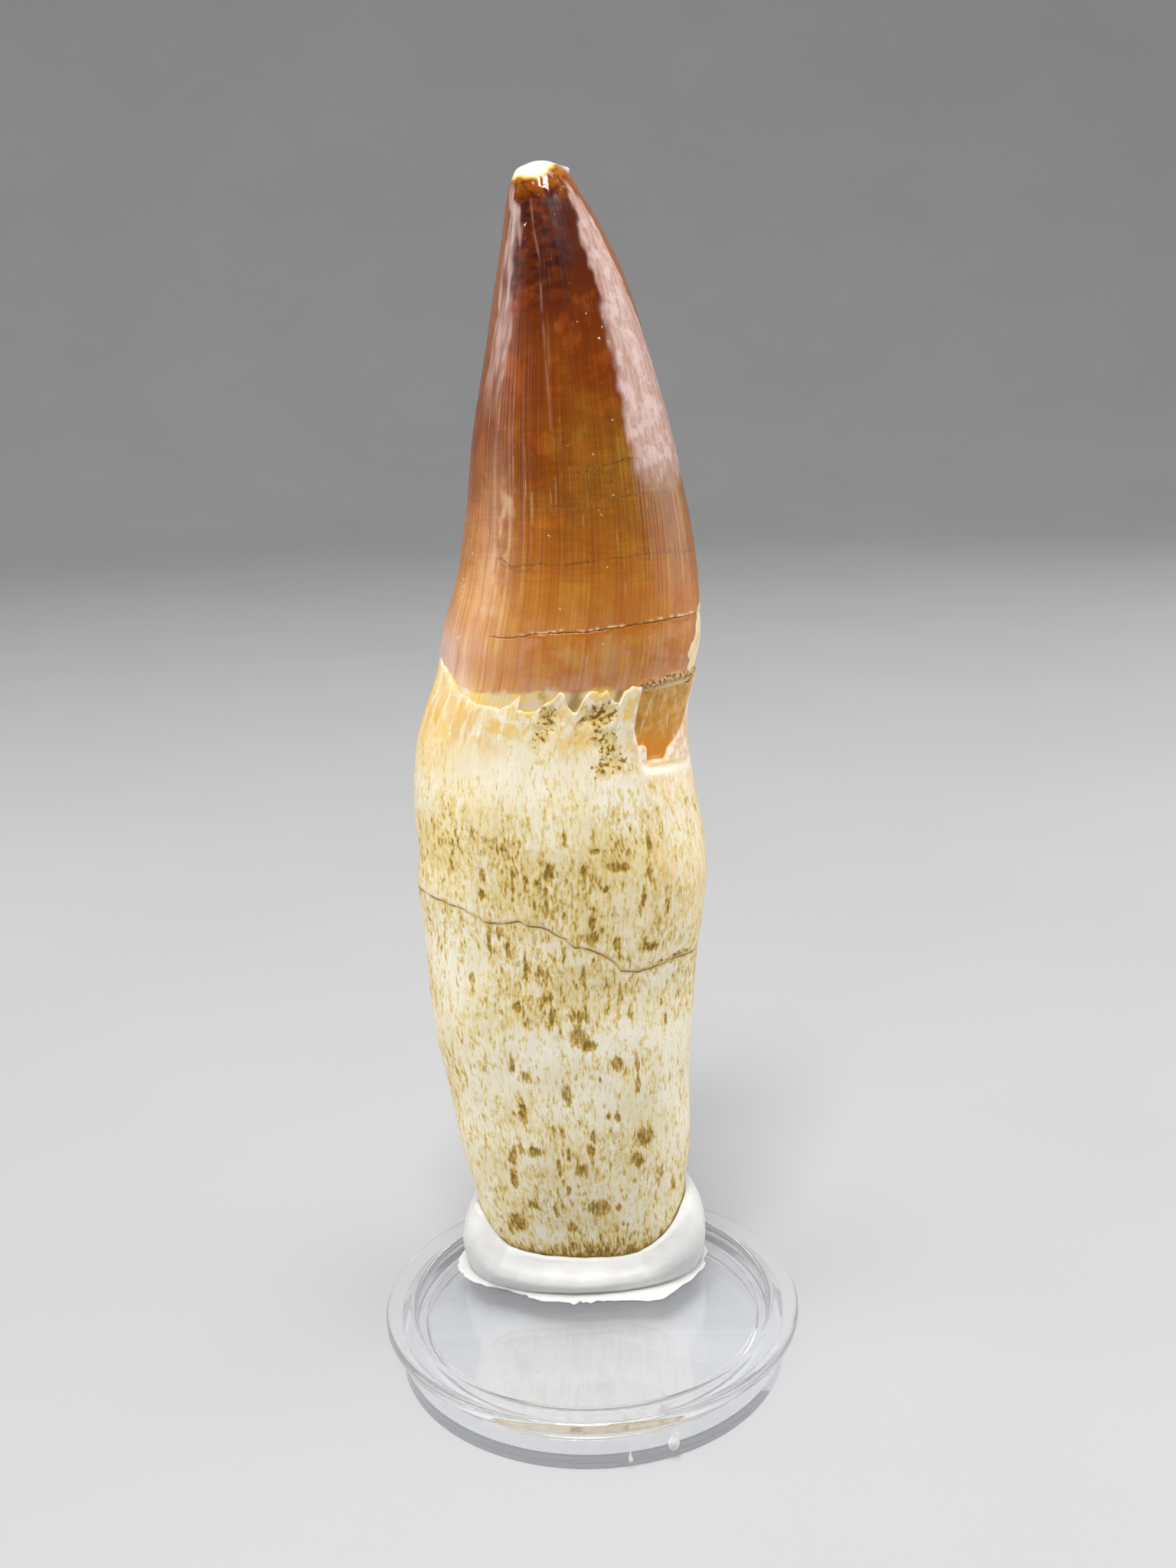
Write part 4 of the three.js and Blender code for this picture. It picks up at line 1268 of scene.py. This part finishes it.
TIP_BAND = solid(0.45, 0.26, 0.25)
TIP_WHITE = solid(0.95, 0.90, 0.76)
TIP_YELLOW = solid(0.88, 0.62, 0.18)
TIP_AMBER = solid(0.50, 0.18, 0.01)
SPLINTER_GREY = solid(0.80, 0.80, 0.82)
DENTINE_PALE = solid(0.66, 0.54, 0.38)
DENTINE_YELLOW = solid(0.74, 0.50, 0.12)
DENTINE_OLIVE = solid(0.30, 0.20, 0.06)
SANDY_GOLD = solid(0.72, 0.55, 0.24)
SANDY_DARK = solid(0.17, 0.09, 0.02)
CRACK_BROWN = solid(0.15, 0.050, 0.004)
CRACK_GRAIN = solid(0.90, 0.66, 0.34)
RUST_ORANGE = solid(0.50, 0.13, 0.004)
PALE_ENAMEL = solid(0.72, 0.38, 0.15)
ENAMEL_OLIVE = solid(0.34, 0.16, 0.012)
LOW_PINK = solid(0.56, 0.28, 0.14)
LOW_GOLD = solid(0.58, 0.30, 0.055)
LOW_LILAC = solid(0.70, 0.50, 0.42)
FINE_PALE_LINE = solid(0.86, 0.60, 0.30)
SIDE_ORANGE = solid(0.34, 0.115, 0.035)
# Pale pink of the worn faces and the left strip, partly a painted reflection of the light
SATIN_PINK_AND_SHEEN = solid(0.56, 0.37, 0.32)
SATIN_BROWN = solid(0.36, 0.16, 0.09)
# Painted highlight on the satin face
SATIN_PAINTED_HIGHLIGHT = solid(0.74, 0.55, 0.52)
SCRAPED_CREAM = solid(0.80, 0.56, 0.34)
CHIP_CREAM = solid(0.88, 0.74, 0.46)

BONE_CREAM = solid(0.83, 0.70, 0.42)
BONE_WHITE = solid(0.88, 0.83, 0.69)
BONE_YELLOW = solid(0.73, 0.55, 0.18)
BONE_GOLD = solid(0.66, 0.50, 0.20)
BONE_LIME = solid(0.66, 0.58, 0.22)
STAIN_OCHRE = solid(0.50, 0.31, 0.06)
STAIN_BROWN = solid(0.24, 0.12, 0.015)
STAIN_OLIVE = solid(0.22, 0.15, 0.02)
SPECK_DARK = solid(0.27, 0.14, 0.01)
# How much more stained the bone is at a height than in its middle
STAINED_BY_HEIGHT = [
    (9.0, 0.20), (10.4, 0.11), (11.6, -0.03), (18.0, -0.035), (34.0, 0.0), (42.0, 0.04),
    (53.0, 0.04), (57.0, 0.025), (60.0, -0.045), (66.0, -0.15),
]
TOP_ORANGE = solid(0.82, 0.50, 0.14)
TOP_PINK = solid(0.84, 0.66, 0.50)
TOP_YELLOW = solid(0.78, 0.52, 0.11)
LEFT_OCHRE = solid(0.68, 0.40, 0.10)
RIGHT_ORANGE = solid(0.82, 0.47, 0.15)
PIT_GOLD = solid(0.70, 0.52, 0.16)
BROKEN_WHITE = solid(0.86, 0.79, 0.66)
BROKEN_PINK = solid(0.80, 0.52, 0.30)
WINDOW_BROWNS = [(0.0, (0.48, 0.20, 0.025)), (0.5, (0.62, 0.30, 0.05)), (1.0, (0.76, 0.46, 0.14))]
WINDOW_ORANGE = solid(0.60, 0.22, 0.010)
ROOT_CRACK_BROWN = solid(0.21, 0.09, 0.006)


def paint_enamel_ground(finish):
    """Brown by height, clouded with gold and red, paler on the left and at the bottom."""
    finish.colour = finish.ramp(finish.height, ENAMEL_BY_HEIGHT)
    golden = finish.clouds(3.0, 0.42, 0.68, shift=20.0, detail=4.0)
    finish.paint(ENAMEL_GOLD, golden, finish.upward(108.0, 70.0), 0.35)
    reddish = finish.clouds(2.4, 0.5, 0.66, shift=44.0, detail=4.0)
    finish.paint(ENAMEL_RED, reddish, 0.28)
    # The left side is paler, most of all low down.
    left = finish.rightward(-2.0, -10.0)
    low_down = finish.upward(96.0, 72.0)
    patches = finish.mix_value(finish.clouds(4.0, 0.3, 0.7), 0.35, 0.85)
    finish.paint(PALE_ENAMEL, left, low_down, patches)
    # Golden olive to the right of the middle, pink and gold patches along the lower edge
    olive = finish.times(finish.upward(80.0, 87.0), finish.upward(97.0, 89.0), finish.rightward(-3.0, 2.0))
    finish.paint(ENAMEL_OLIVE, olive, finish.mix_value(golden, 0.35, 0.75))
    low = finish.upward(77.0, 71.5)
    pinkish = finish.clouds(2.2, 0.44, 0.62, shift=37.0, detail=4.0)
    finish.paint(LOW_PINK, pinkish, low, 0.65)
    finish.paint(LOW_GOLD, golden, low, 0.55)
    finish.paint(LOW_LILAC, finish.rightward(-8.5, -12.0), finish.upward(77.0, 71.0), 0.7)
    return reddish


def paint_enamel_lines(finish):
    """Upright lines, darker and paler, fine rings, dark bands near the tip and its lighter sides."""
    dark_lines = finish.grain(0.27, 26.0, 0.4, 0.66, detail=2.0)
    lined = finish.mix_value(finish.upward(72.0, 84.0), 0.32, 0.52)
    finish.tint(DARKER_LINE, dark_lines, lined)
    pale_lines = finish.grain(0.3, 20.0, 0.48, 0.72, shift=9.0, detail=2.0)
    finish.tint(PALER_LINE, pale_lines, lined, 0.42)
    finish.tint(PALER_LINE, finish.grain(1.3, 16.0, 0.45, 0.65), 0.18)
    thin_lines = finish.grain(0.26, 9.0, 0.6, 0.74, shift=27.0, detail=2.0)
    thin_places = finish.clouds(3.5, 0.46, 0.62, shift=76.0, detail=4.0)
    lower_down = finish.mix_value(finish.upward(104.0, 92.0), 0.12, 0.38)
    finish.paint(FINE_PALE_LINE, thin_lines, thin_places, lower_down)
    red_lines = finish.grain(0.5, 7.0, 0.58, 0.72, shift=66.0, detail=3.0)
    finish.paint(ENAMEL_RED, red_lines, finish.upward(94.0, 84.0), 0.55)
    # Fine rings across the middle, and dark bands near the tip
    rings = finish.grain(2.5, 0.2, 0.44, 0.62)
    ringed = finish.times(finish.upward(72.0, 82.0), finish.upward(106.0, 94.0))
    finish.tint(DARKER_RING, rings, ringed, 0.35)
    bands = finish.grain(3.0, 0.7, 0.4, 0.62)
    finish.tint(TIP_BAND, bands, finish.upward(98.0, 108.0), finish.rightward(2.0, -0.5))
    finish.paint(SIDE_ORANGE, finish.mask("side"), 0.85)
    return dark_lines, pale_lines


def paint_worn_faces(finish):
    """Worn satin faces, streaky and mottled, painted pale pink partly as a painted reflection and with
    painted highlight patches; the painted highlight strip on the left, the scraped left side and fine white
    dots painted as glints.
    """
    mottled = finish.grain(0.6, 1.6, 0.36, 0.62, shift=3.0, detail=4.0)
    satin_colour_and_sheen = finish.mix(finish.mix_value(mottled, 0.62, 0.0), SATIN_PINK_AND_SHEEN, SATIN_BROWN)
    worn_face_and_sheen = finish.mask("worn_face_and_sheen")
    dimples = finish.spots(spacing=0.8, stretch=1.4, size=0.1, softness=0.12, ragged=0.7)
    dimples = finish.times(dimples, finish.clouds(3.0, 0.42, 0.52, shift=58.0))
    satin_colour_and_sheen = finish.mix(finish.times(dimples, 0.7), satin_colour_and_sheen, SATIN_BROWN)
    # Bright patches painted as highlights on the satin face
    painted_highlight_patches = finish.clouds(1.6, 0.48, 0.6, shift=14.0, detail=5.0)
    satin_colour_and_sheen = finish.mix(finish.times(painted_highlight_patches, 0.55), satin_colour_and_sheen, SATIN_PAINTED_HIGHLIGHT)
    # The worn satin face, painted paler partly as a painted reflection of the light
    finish.paint(satin_colour_and_sheen, worn_face_and_sheen, 0.9)
    # The strip on the left is a painted reflection of the light; the pale streak in the same mask is the
    # crown's own.
    finish.paint(SATIN_PINK_AND_SHEEN, finish.mask("highlight_strip_and_streak"), 0.8)
    finish.paint(SCRAPED_CREAM, finish.mask("scraped"), 0.42)
    # Small white dots painted as glints of light
    painted_glints = finish.spots(spacing=1.25, stretch=1.2, size=0.04, softness=0.06, ragged=0.6)
    painted_glints = finish.times(painted_glints, finish.clouds(4.0, 0.5, 0.57, shift=33.0))
    finish.paint(TIP_WHITE, painted_glints, 0.8)
    return worn_face_and_sheen, dimples, painted_glints


def paint_crown_edges(finish, reddish):
    """Rusty main crack, cream chip, inner tooth and sand at the lower edge, cracks and worn tip."""
    finish.paint(RUST_ORANGE, finish.mask("rust"))
    finish.paint(CRACK_GRAIN, finish.mask("grit"), 0.9)
    chip = finish.mask("chip")
    chip_border = finish.times(finish.between(chip, 0.02, 0.25), finish.between(chip, 0.8, 0.5))
    chip_colour = finish.mix(finish.times(reddish, 0.5), CHIP_CREAM, ENAMEL_GOLD)
    finish.paint(chip_colour, finish.between(chip, 0.4, 0.65))
    finish.paint(RUST_ORANGE, chip_border, 0.85)
    # Band of inner tooth between enamel and bone
    tone = finish.clouds(1.6, 0.36, 0.66, shift=8.0, detail=5.0)
    hollow = finish.plus(finish.mask("notch"), finish.times(tone, 0.35))
    dentine = finish.mix(tone, DENTINE_PALE, DENTINE_YELLOW)
    dentine = finish.mix(finish.times(finish.between(hollow, 0.55, 1.05), 0.85), dentine, DENTINE_OLIVE)
    finish.paint(dentine, finish.mask("dentine"))
    grains = finish.clouds(0.28, 0.42, 0.6, shift=61.0, detail=2.0)
    finish.paint(finish.mix(grains, SANDY_DARK, SANDY_GOLD), finish.mask("sandy"))
    pale_grains = finish.times(finish.between(grains, 0.7, 0.9), 0.15)
    finish.paint(finish.mix(pale_grains, CRACK_BROWN, CRACK_GRAIN), finish.mask("crack"))
    worn = finish.mask("worn")
    finish.paint(TIP_AMBER, finish.between(worn, 0.02, 0.4))
    finish.paint(TIP_YELLOW, finish.between(worn, 0.22, 0.55))
    finish.paint(TIP_WHITE, finish.between(worn, 0.55, 0.85))
    finish.paint(SPLINTER_GREY, finish.mask("splinter"))
    return chip, worn


def enamel_finish():
    finish = Finish("enamel")
    reddish = paint_enamel_ground(finish)
    dark_lines, pale_lines = paint_enamel_lines(finish)
    worn_face_and_sheen, dimples, painted_glints = paint_worn_faces(finish)
    chip, worn = paint_crown_edges(finish, reddish)
    finish.put("Base Color", finish.colour)
    rough = finish.mix_value(dark_lines, 0.2, 0.32)
    rough = finish.mix_value(finish.upward(111.5, 113.0), rough, 0.1)
    rough = finish.mix_value(worn_face_and_sheen, rough, 0.38)
    rough = finish.mix_value(finish.math("MAXIMUM", finish.mask("sandy"), chip), rough, 0.7)
    finish.put("Roughness", finish.mix_value(worn, rough, 0.4))
    finish.put("IOR", 1.6)
    finish.put("Specular IOR Level", 0.25)
    height = finish.math("SUBTRACT", finish.plus(painted_glints, finish.times(pale_lines, 0.3)), dark_lines)
    height = finish.math("SUBTRACT", height, finish.times(worn_face_and_sheen, dimples, 0.8))
    height = finish.times(height, finish.upward(104.0, 95.0))
    finish.relief(height, 0.03, 0.6)
    return finish.material


def paint_bone_ground(finish):
    """Cream and white bone with upright fibres, warmer under the crown and at its sides."""
    low_down = finish.upward(56.0, 40.0)
    top = finish.upward(58.0, 65.0)
    patches = finish.clouds(7.0, 0.38, 0.62, detail=4.0)
    whiter = finish.mix_value(low_down, finish.times(patches, 0.7), finish.mix_value(patches, 0.5, 1.0))
    finish.colour = finish.mix(whiter, BONE_CREAM, BONE_WHITE)
    finish.paint(BONE_LIME, finish.clouds(4.5, 0.44, 0.6, shift=47.0, detail=5.0), 0.2)
    # Orange and pink tints under the crown
    warm = finish.clouds(2.6, 0.5, 0.66, shift=15.0, detail=5.0)
    pink = finish.clouds(3.4, 0.45, 0.6, shift=60.0)
    finish.paint(TOP_PINK, pink, top, 0.35)
    warm = finish.math("MAXIMUM", warm, finish.times(finish.rightward(-8.0, -14.0), 0.7))
    finish.paint(TOP_ORANGE, warm, top, 0.7)
    yellowish = finish.clouds(1.9, 0.47, 0.56, shift=90.0, detail=6.0)
    high_up = finish.upward(62.5, 66.0)
    finish.paint(TOP_YELLOW, yellowish, high_up, 0.85)
    chalky = finish.clouds(1.3, 0.53, 0.6, shift=29.0, detail=6.0)
    finish.paint(BROKEN_WHITE, chalky, high_up, 0.75)
    fibres = finish.grain(0.18, 3.0, 0.46, 0.68, detail=3.0)
    left_top = finish.times(finish.rightward(-6.5, -9.5), finish.upward(60.0, 66.0))
    left_grain = finish.grain(0.8, 4.0, 0.44, 0.56, shift=73.0, detail=4.0)
    finish.paint(LEFT_OCHRE, left_grain, left_top, 0.75)
    right_side = finish.times(finish.rightward(5.0, 7.5), finish.rightward(16.0, 12.0))
    streaks = finish.grain(0.3, 2.4, 0.44, 0.58, shift=49.0, detail=4.0)
    finish.paint(RIGHT_ORANGE, streaks, right_side, finish.upward(42.0, 52.0), 0.85)
    finish.paint(BONE_YELLOW, fibres, 0.3)
    white_fibres = finish.grain(0.25, 3.6, 0.56, 0.72, shift=17.0)
    finish.paint(BROKEN_WHITE, white_fibres, 0.35)
    return patches, white_fibres


def paint_bone_stains(finish):
    """Where broad, middling and fine patterns and the mesh's own stains add up, the bone turns
    yellow first, then ochre, then brown."""
    broad = finish.clouds(6.0, 0.25, 0.75, shift=70.0)
    middling = finish.grain(0.75, 2.0, 0.25, 0.75, shift=31.0, detail=5.0)
    fine = finish.grain(0.26, 0.75, 0.22, 0.78, shift=52.0, detail=4.0)
    stain = finish.mask("stain")
    tone = finish.mask("tone")
    parts = [(broad, 0.20), (middling, 0.32), (fine, 0.47), (stain, 0.23), (tone, 0.065)]
    stained = finish.plus(*(finish.times(part, share) for part, share in parts))
    golden = finish.clouds(2.6, 0.4, 0.62, shift=19.0, detail=5.0)
    golden = finish.times(finish.between(finish.plus(tone, finish.times(golden, 0.7)), 0.3, 1.3), 0.35)
    finish.paint(BONE_GOLD, golden)
    finish.paint(BONE_WHITE, finish.between(tone, -0.1, -0.9), 0.6)
    grey_by_height = [(at, (0.5 + more,) * 3) for at, more in STAINED_BY_HEIGHT]
    by_height = finish.math("SUBTRACT", finish.ramp(finish.height, grey_by_height), 0.5)
    stained = finish.plus(stained, by_height, finish.times(finish.mask("foot_band"), 0.1))
    shade = finish.clouds(1.3, 0.44, 0.56, shift=5.0)
    finish.paint(BONE_YELLOW, finish.between(stained, 0.44, 0.66), 0.75)
    # Golden grains lie round the stains and inside them.
    gold_grains = finish.clouds(0.55, 0.49, 0.58, shift=34.0, detail=4.0)
    finish.paint(PIT_GOLD, gold_grains, finish.between(stained, 0.42, 0.56), 0.55)
    stain_colour = finish.mix(shade, STAIN_OLIVE, STAIN_BROWN)
    stain_colour = finish.mix(finish.times(gold_grains, 0.75), stain_colour, STAIN_OCHRE)
    finish.paint(STAIN_OCHRE, finish.between(stained, 0.66, 0.75), 0.85)
    ragged_stain = finish.plus(stain, finish.times(fine, 0.9))
    finish.paint(STAIN_OCHRE, finish.between(ragged_stain, 0.85, 1.15), 0.7)
    finish.paint(stain_colour, finish.between(ragged_stain, 1.2, 1.45), 0.75)
    dark_stain = finish.between(stained, 0.76, 0.86)
    finish.paint(stain_colour, dark_stain, 0.9)
    # Small dark specks, and fine upright pores
    small_specks = finish.spots(spacing=0.9, stretch=1.7, size=0.18, softness=0.12, ragged=0.8)
    speck_places = finish.clouds(3.2, 0.44, 0.58, shift=97.0, detail=3.0)
    speck_places = finish.times(speck_places, finish.between(tone, -0.7, 0.4), finish.upward(62.0, 55.0))
    finish.paint(finish.mix(shade, STAIN_OCHRE, SPECK_DARK), small_specks, speck_places, 0.5)
    pores = finish.spots(spacing=0.7, stretch=2.6, size=0.15, softness=0.14, ragged=0.5)
    pore_places = finish.clouds(2.0, 0.4, 0.6, shift=81.0, detail=4.0)
    pore_colour = finish.mix(shade, PIT_GOLD, STAIN_OCHRE)
    finish.paint(pore_colour, pores, pore_places, finish.upward(64.0, 57.0), 0.45)
    return dark_stain


def paint_bone_pits(finish):
    """Golden pits, speckled with brown, and the pale upper rim of the bone."""
    specks = finish.clouds(0.42, 0.3, 0.7, shift=12.0, detail=4.0)
    pitted = finish.mask("pitted")
    finish.paint(PIT_GOLD, finish.between(pitted, 0.05, 0.6), 0.65)
    grainy = finish.plus(finish.times(pitted, 0.5), specks)
    in_pit = finish.between(pitted, 0.02, 0.15)
    finish.paint(STAIN_OCHRE, finish.between(grainy, 0.8, 0.98), in_pit)
    finish.paint(STAIN_BROWN, finish.between(grainy, 0.98, 1.15), in_pit)
    finish.paint(BROKEN_WHITE, finish.mask("rim"), 0.5)
    return specks


def paint_chipped_window(finish, specks):
    """Pale broken bone round the brown floor of inner tooth; gives the mask of that floor."""
    flushed = finish.times(finish.clouds(0.9, 0.4, 0.6, shift=42.0, detail=4.0), finish.upward(60.6, 61.6))
    finish.paint(finish.mix(flushed, BROKEN_WHITE, BROKEN_PINK), finish.mask("broken"))
    amber = finish.clouds(1.5, 0.3, 0.7, shift=25.0, detail=4.0)
    amber = finish.plus(finish.times(amber, 0.7), finish.times(specks, 0.3))
    inner = finish.ramp(amber, WINDOW_BROWNS)
    pale_lines = finish.grain(0.5, 2.2, 0.56, 0.68, shift=6.0)
    inner = finish.mix(finish.times(pale_lines, 0.35), inner, BROKEN_WHITE)
    low_down = finish.between(finish.plus(finish.height, amber), 65.0, 63.6)
    inner = finish.mix(low_down, inner, WINDOW_ORANGE)
    floor_share = finish.between(finish.mask("window"), 0.45, 0.8)
    finish.paint(inner, floor_share)
    return floor_share


def bone_finish():
    finish = Finish("bone")
    patches, white_fibres = paint_bone_ground(finish)
    dark_stain = paint_bone_stains(finish)
    specks = paint_bone_pits(finish)
    floor_share = paint_chipped_window(finish, specks)
    crack = finish.mask("crack")
    finish.paint(BONE_GOLD, finish.between(crack, 0.0, 0.35), 0.6)
    finish.paint(ROOT_CRACK_BROWN, finish.between(crack, 0.3, 0.85), 0.92)
    # Painted shadow: a dark line on the bone where it meets the putty
    finish.paint(SPECK_DARK, finish.mask("foot_shadow_line"), 0.8)
    finish.put("Base Color", finish.colour)
    rough = finish.mix_value(patches, 0.6, 0.48)
    rough = finish.mix_value(floor_share, rough, 0.28)
    finish.put("Roughness", finish.mix_value(dark_stain, rough, 0.85))
    finish.put("IOR", 1.5)
    finish.put("Specular IOR Level", 0.3)
    surface = finish.math("SUBTRACT", finish.times(white_fibres, 0.5), finish.times(dark_stain, 0.6))
    surface = finish.plus(surface, finish.times(specks, 0.2))
    finish.relief(surface, 0.06, 0.6)
    return finish.material


def putty_finish():
    finish = Finish("white_putty")
    smudges = finish.clouds(3.5, 0.4, 0.7)
    finish.put("Base Color", finish.mix(smudges, solid(0.73, 0.72, 0.7), solid(0.68, 0.67, 0.645)))
    finish.put("Roughness", finish.mix_value(smudges, 0.5, 0.62))
    fine = finish.clouds(0.5, 0.3, 0.7)
    finish.relief(fine, 0.03, 0.4)
    return finish.material


def clear_finish():
    finish = Finish("clear_plastic")
    finish.put("Base Color", solid(0.988, 0.991, 0.996))
    finish.put("Transmission Weight", 0.93)
    finish.put("IOR", 1.49)
    scuffs = finish.clouds(1.5, 0.5, 0.75)
    finish.put("Roughness", finish.mix_value(scuffs, 0.02, 0.06))
    finish.let_light_through(solid(0.965, 0.97, 0.98))
    return finish.material


def floor_finish():
    finish = Finish("pale_floor")
    patches = finish.clouds(120.0, 0.3, 0.7)
    finish.put("Base Color", finish.mix(patches, solid(0.50, 0.50, 0.50), solid(0.48, 0.48, 0.485)))
    finish.put("Roughness", 0.7)
    return finish.material


# Studio

def add_floor():
    """A pale disc that curves up into a backdrop all round."""
    flat, rise = 900.0, 700.0
    profile = [(0.0, 0.0), (60.0, 0.0), (flat * 0.5, 0.0), (flat, 0.0)]
    profile += [(flat + rise * math.sin(t), rise * (1 - math.cos(t))) for t in np.linspace(0.1, 1.5, 15)]
    profile.append((flat + rise, 2.2 * rise))
    segments = 96
    turn = np.arange(segments) * 2 * math.pi / segments
    vertices = [(0.0, 0.0, 0.0)]
    for radius, height in profile[1:]:
        vertices += [(radius * math.cos(t), radius * math.sin(t), height) for t in turn]
    faces = [(0, 1 + j, 1 + (j + 1) % segments) for j in range(segments)]
    for i in range(len(profile) - 2):
        for j in range(segments):
            a, b = 1 + i * segments + j, 1 + i * segments + (j + 1) % segments
            faces.append((a, a + segments, b + segments, b))
    floor = mesh_object("floor", vertices, faces)
    floor.data.materials.append(floor_finish())


def add_panel(name, azimuth, elevation, distance, width, height, glow, target=(0, 7, 60)):
    """A soft light panel that faces the tooth; azimuth counts like the tooth's angles, and
    glow is the panel's brightness, where a white wall in full light has 1."""
    light = bpy.data.lights.new(name, "AREA")
    light.shape = "RECTANGLE"
    light.size, light.size_y = width * MM, height * MM
    light.energy = glow * math.pi * light.size * light.size_y
    lamp = bpy.data.objects.new(name, light)
    bpy.context.scene.collection.objects.link(lamp)
    a, e = math.radians(azimuth), math.radians(elevation)
    away = Vector((math.cos(a) * math.cos(e), math.sin(a) * math.cos(e), math.sin(e)))
    lamp.location = (Vector(target) + away * distance) * MM
    lamp.rotation_euler = (-away).to_track_quat("-Z", "Y").to_euler()
    lamp.visible_camera = False


def add_studio():
    world = bpy.data.worlds.new("studio")
    world.use_nodes = True
    world.node_tree.nodes["Background"].inputs["Color"].default_value = (0.96, 0.97, 1.0, 1.0)
    world.node_tree.nodes["Background"].inputs["Strength"].default_value = 0.34
    bpy.context.scene.world = world
    add_panel("right_panel", azimuth=8, elevation=18, distance=700, width=800, height=480, glow=2.5)
    add_panel("left_panel", azimuth=-170, elevation=16, distance=700, width=520, height=480, glow=2.7)
    add_panel("key_panel", azimuth=-100, elevation=62, distance=900, width=300, height=200, glow=31)
    add_panel("top_panel", azimuth=-90, elevation=82, distance=900, width=600, height=270, glow=7)
    bpy.context.scene.view_settings.view_transform = "Standard"


def add_camera():
    data = bpy.data.cameras.new("camera")
    data.sensor_width = SENSOR_MM
    data.lens = FOCAL_PIXELS * SENSOR_MM / PHOTO_HEIGHT_PIXELS
    data.clip_start, data.clip_end = 0.01, 20.0
    camera = bpy.data.objects.new("camera", data)
    bpy.context.scene.collection.objects.link(camera)
    camera.location = Vector(CAMERA_PLACE) * MM
    tilt = Matrix.Rotation(math.radians(90 - CAMERA_TILT_DOWN), 4, "X")
    roll = Matrix.Rotation(math.radians(CAMERA_ROLL), 4, "Z")
    camera.rotation_euler = (tilt @ roll).to_euler()
    bpy.context.scene.camera = camera


# Putting it together

def settle(piece, material, slot, *nodes):
    """Gives a piece its finish, puts it on the frame and hides the CAD nodes it stands for."""
    piece.data.materials.append(material)
    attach(piece, "root")
    if nodes:
        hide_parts(*nodes)


Finish.groups = {
    "clouds": build_clouds(),
    "long_grain": build_long_grain(),
    "oval_spots": build_oval_spots(),
}

add_camera()
add_studio()
add_floor()

putty = putty_finish()
clear = clear_finish()
settle(enamel_crown(), enamel_finish(), "fossil", "tooth")
settle(bone_root(), bone_finish(), "fossil", "tooth")
settle(putty_collar(), putty, "putty", "putty")
for number, crumb in enumerate(CRUMBS, 1):
    settle(putty_crumb(f"putty_crumb_{number}", *crumb), putty, "putty")
settle(capsule_cap(), clear, "clear_plastic", "clear_cap")
settle(capsule_foot(), clear, "clear_plastic", "clear_foot")
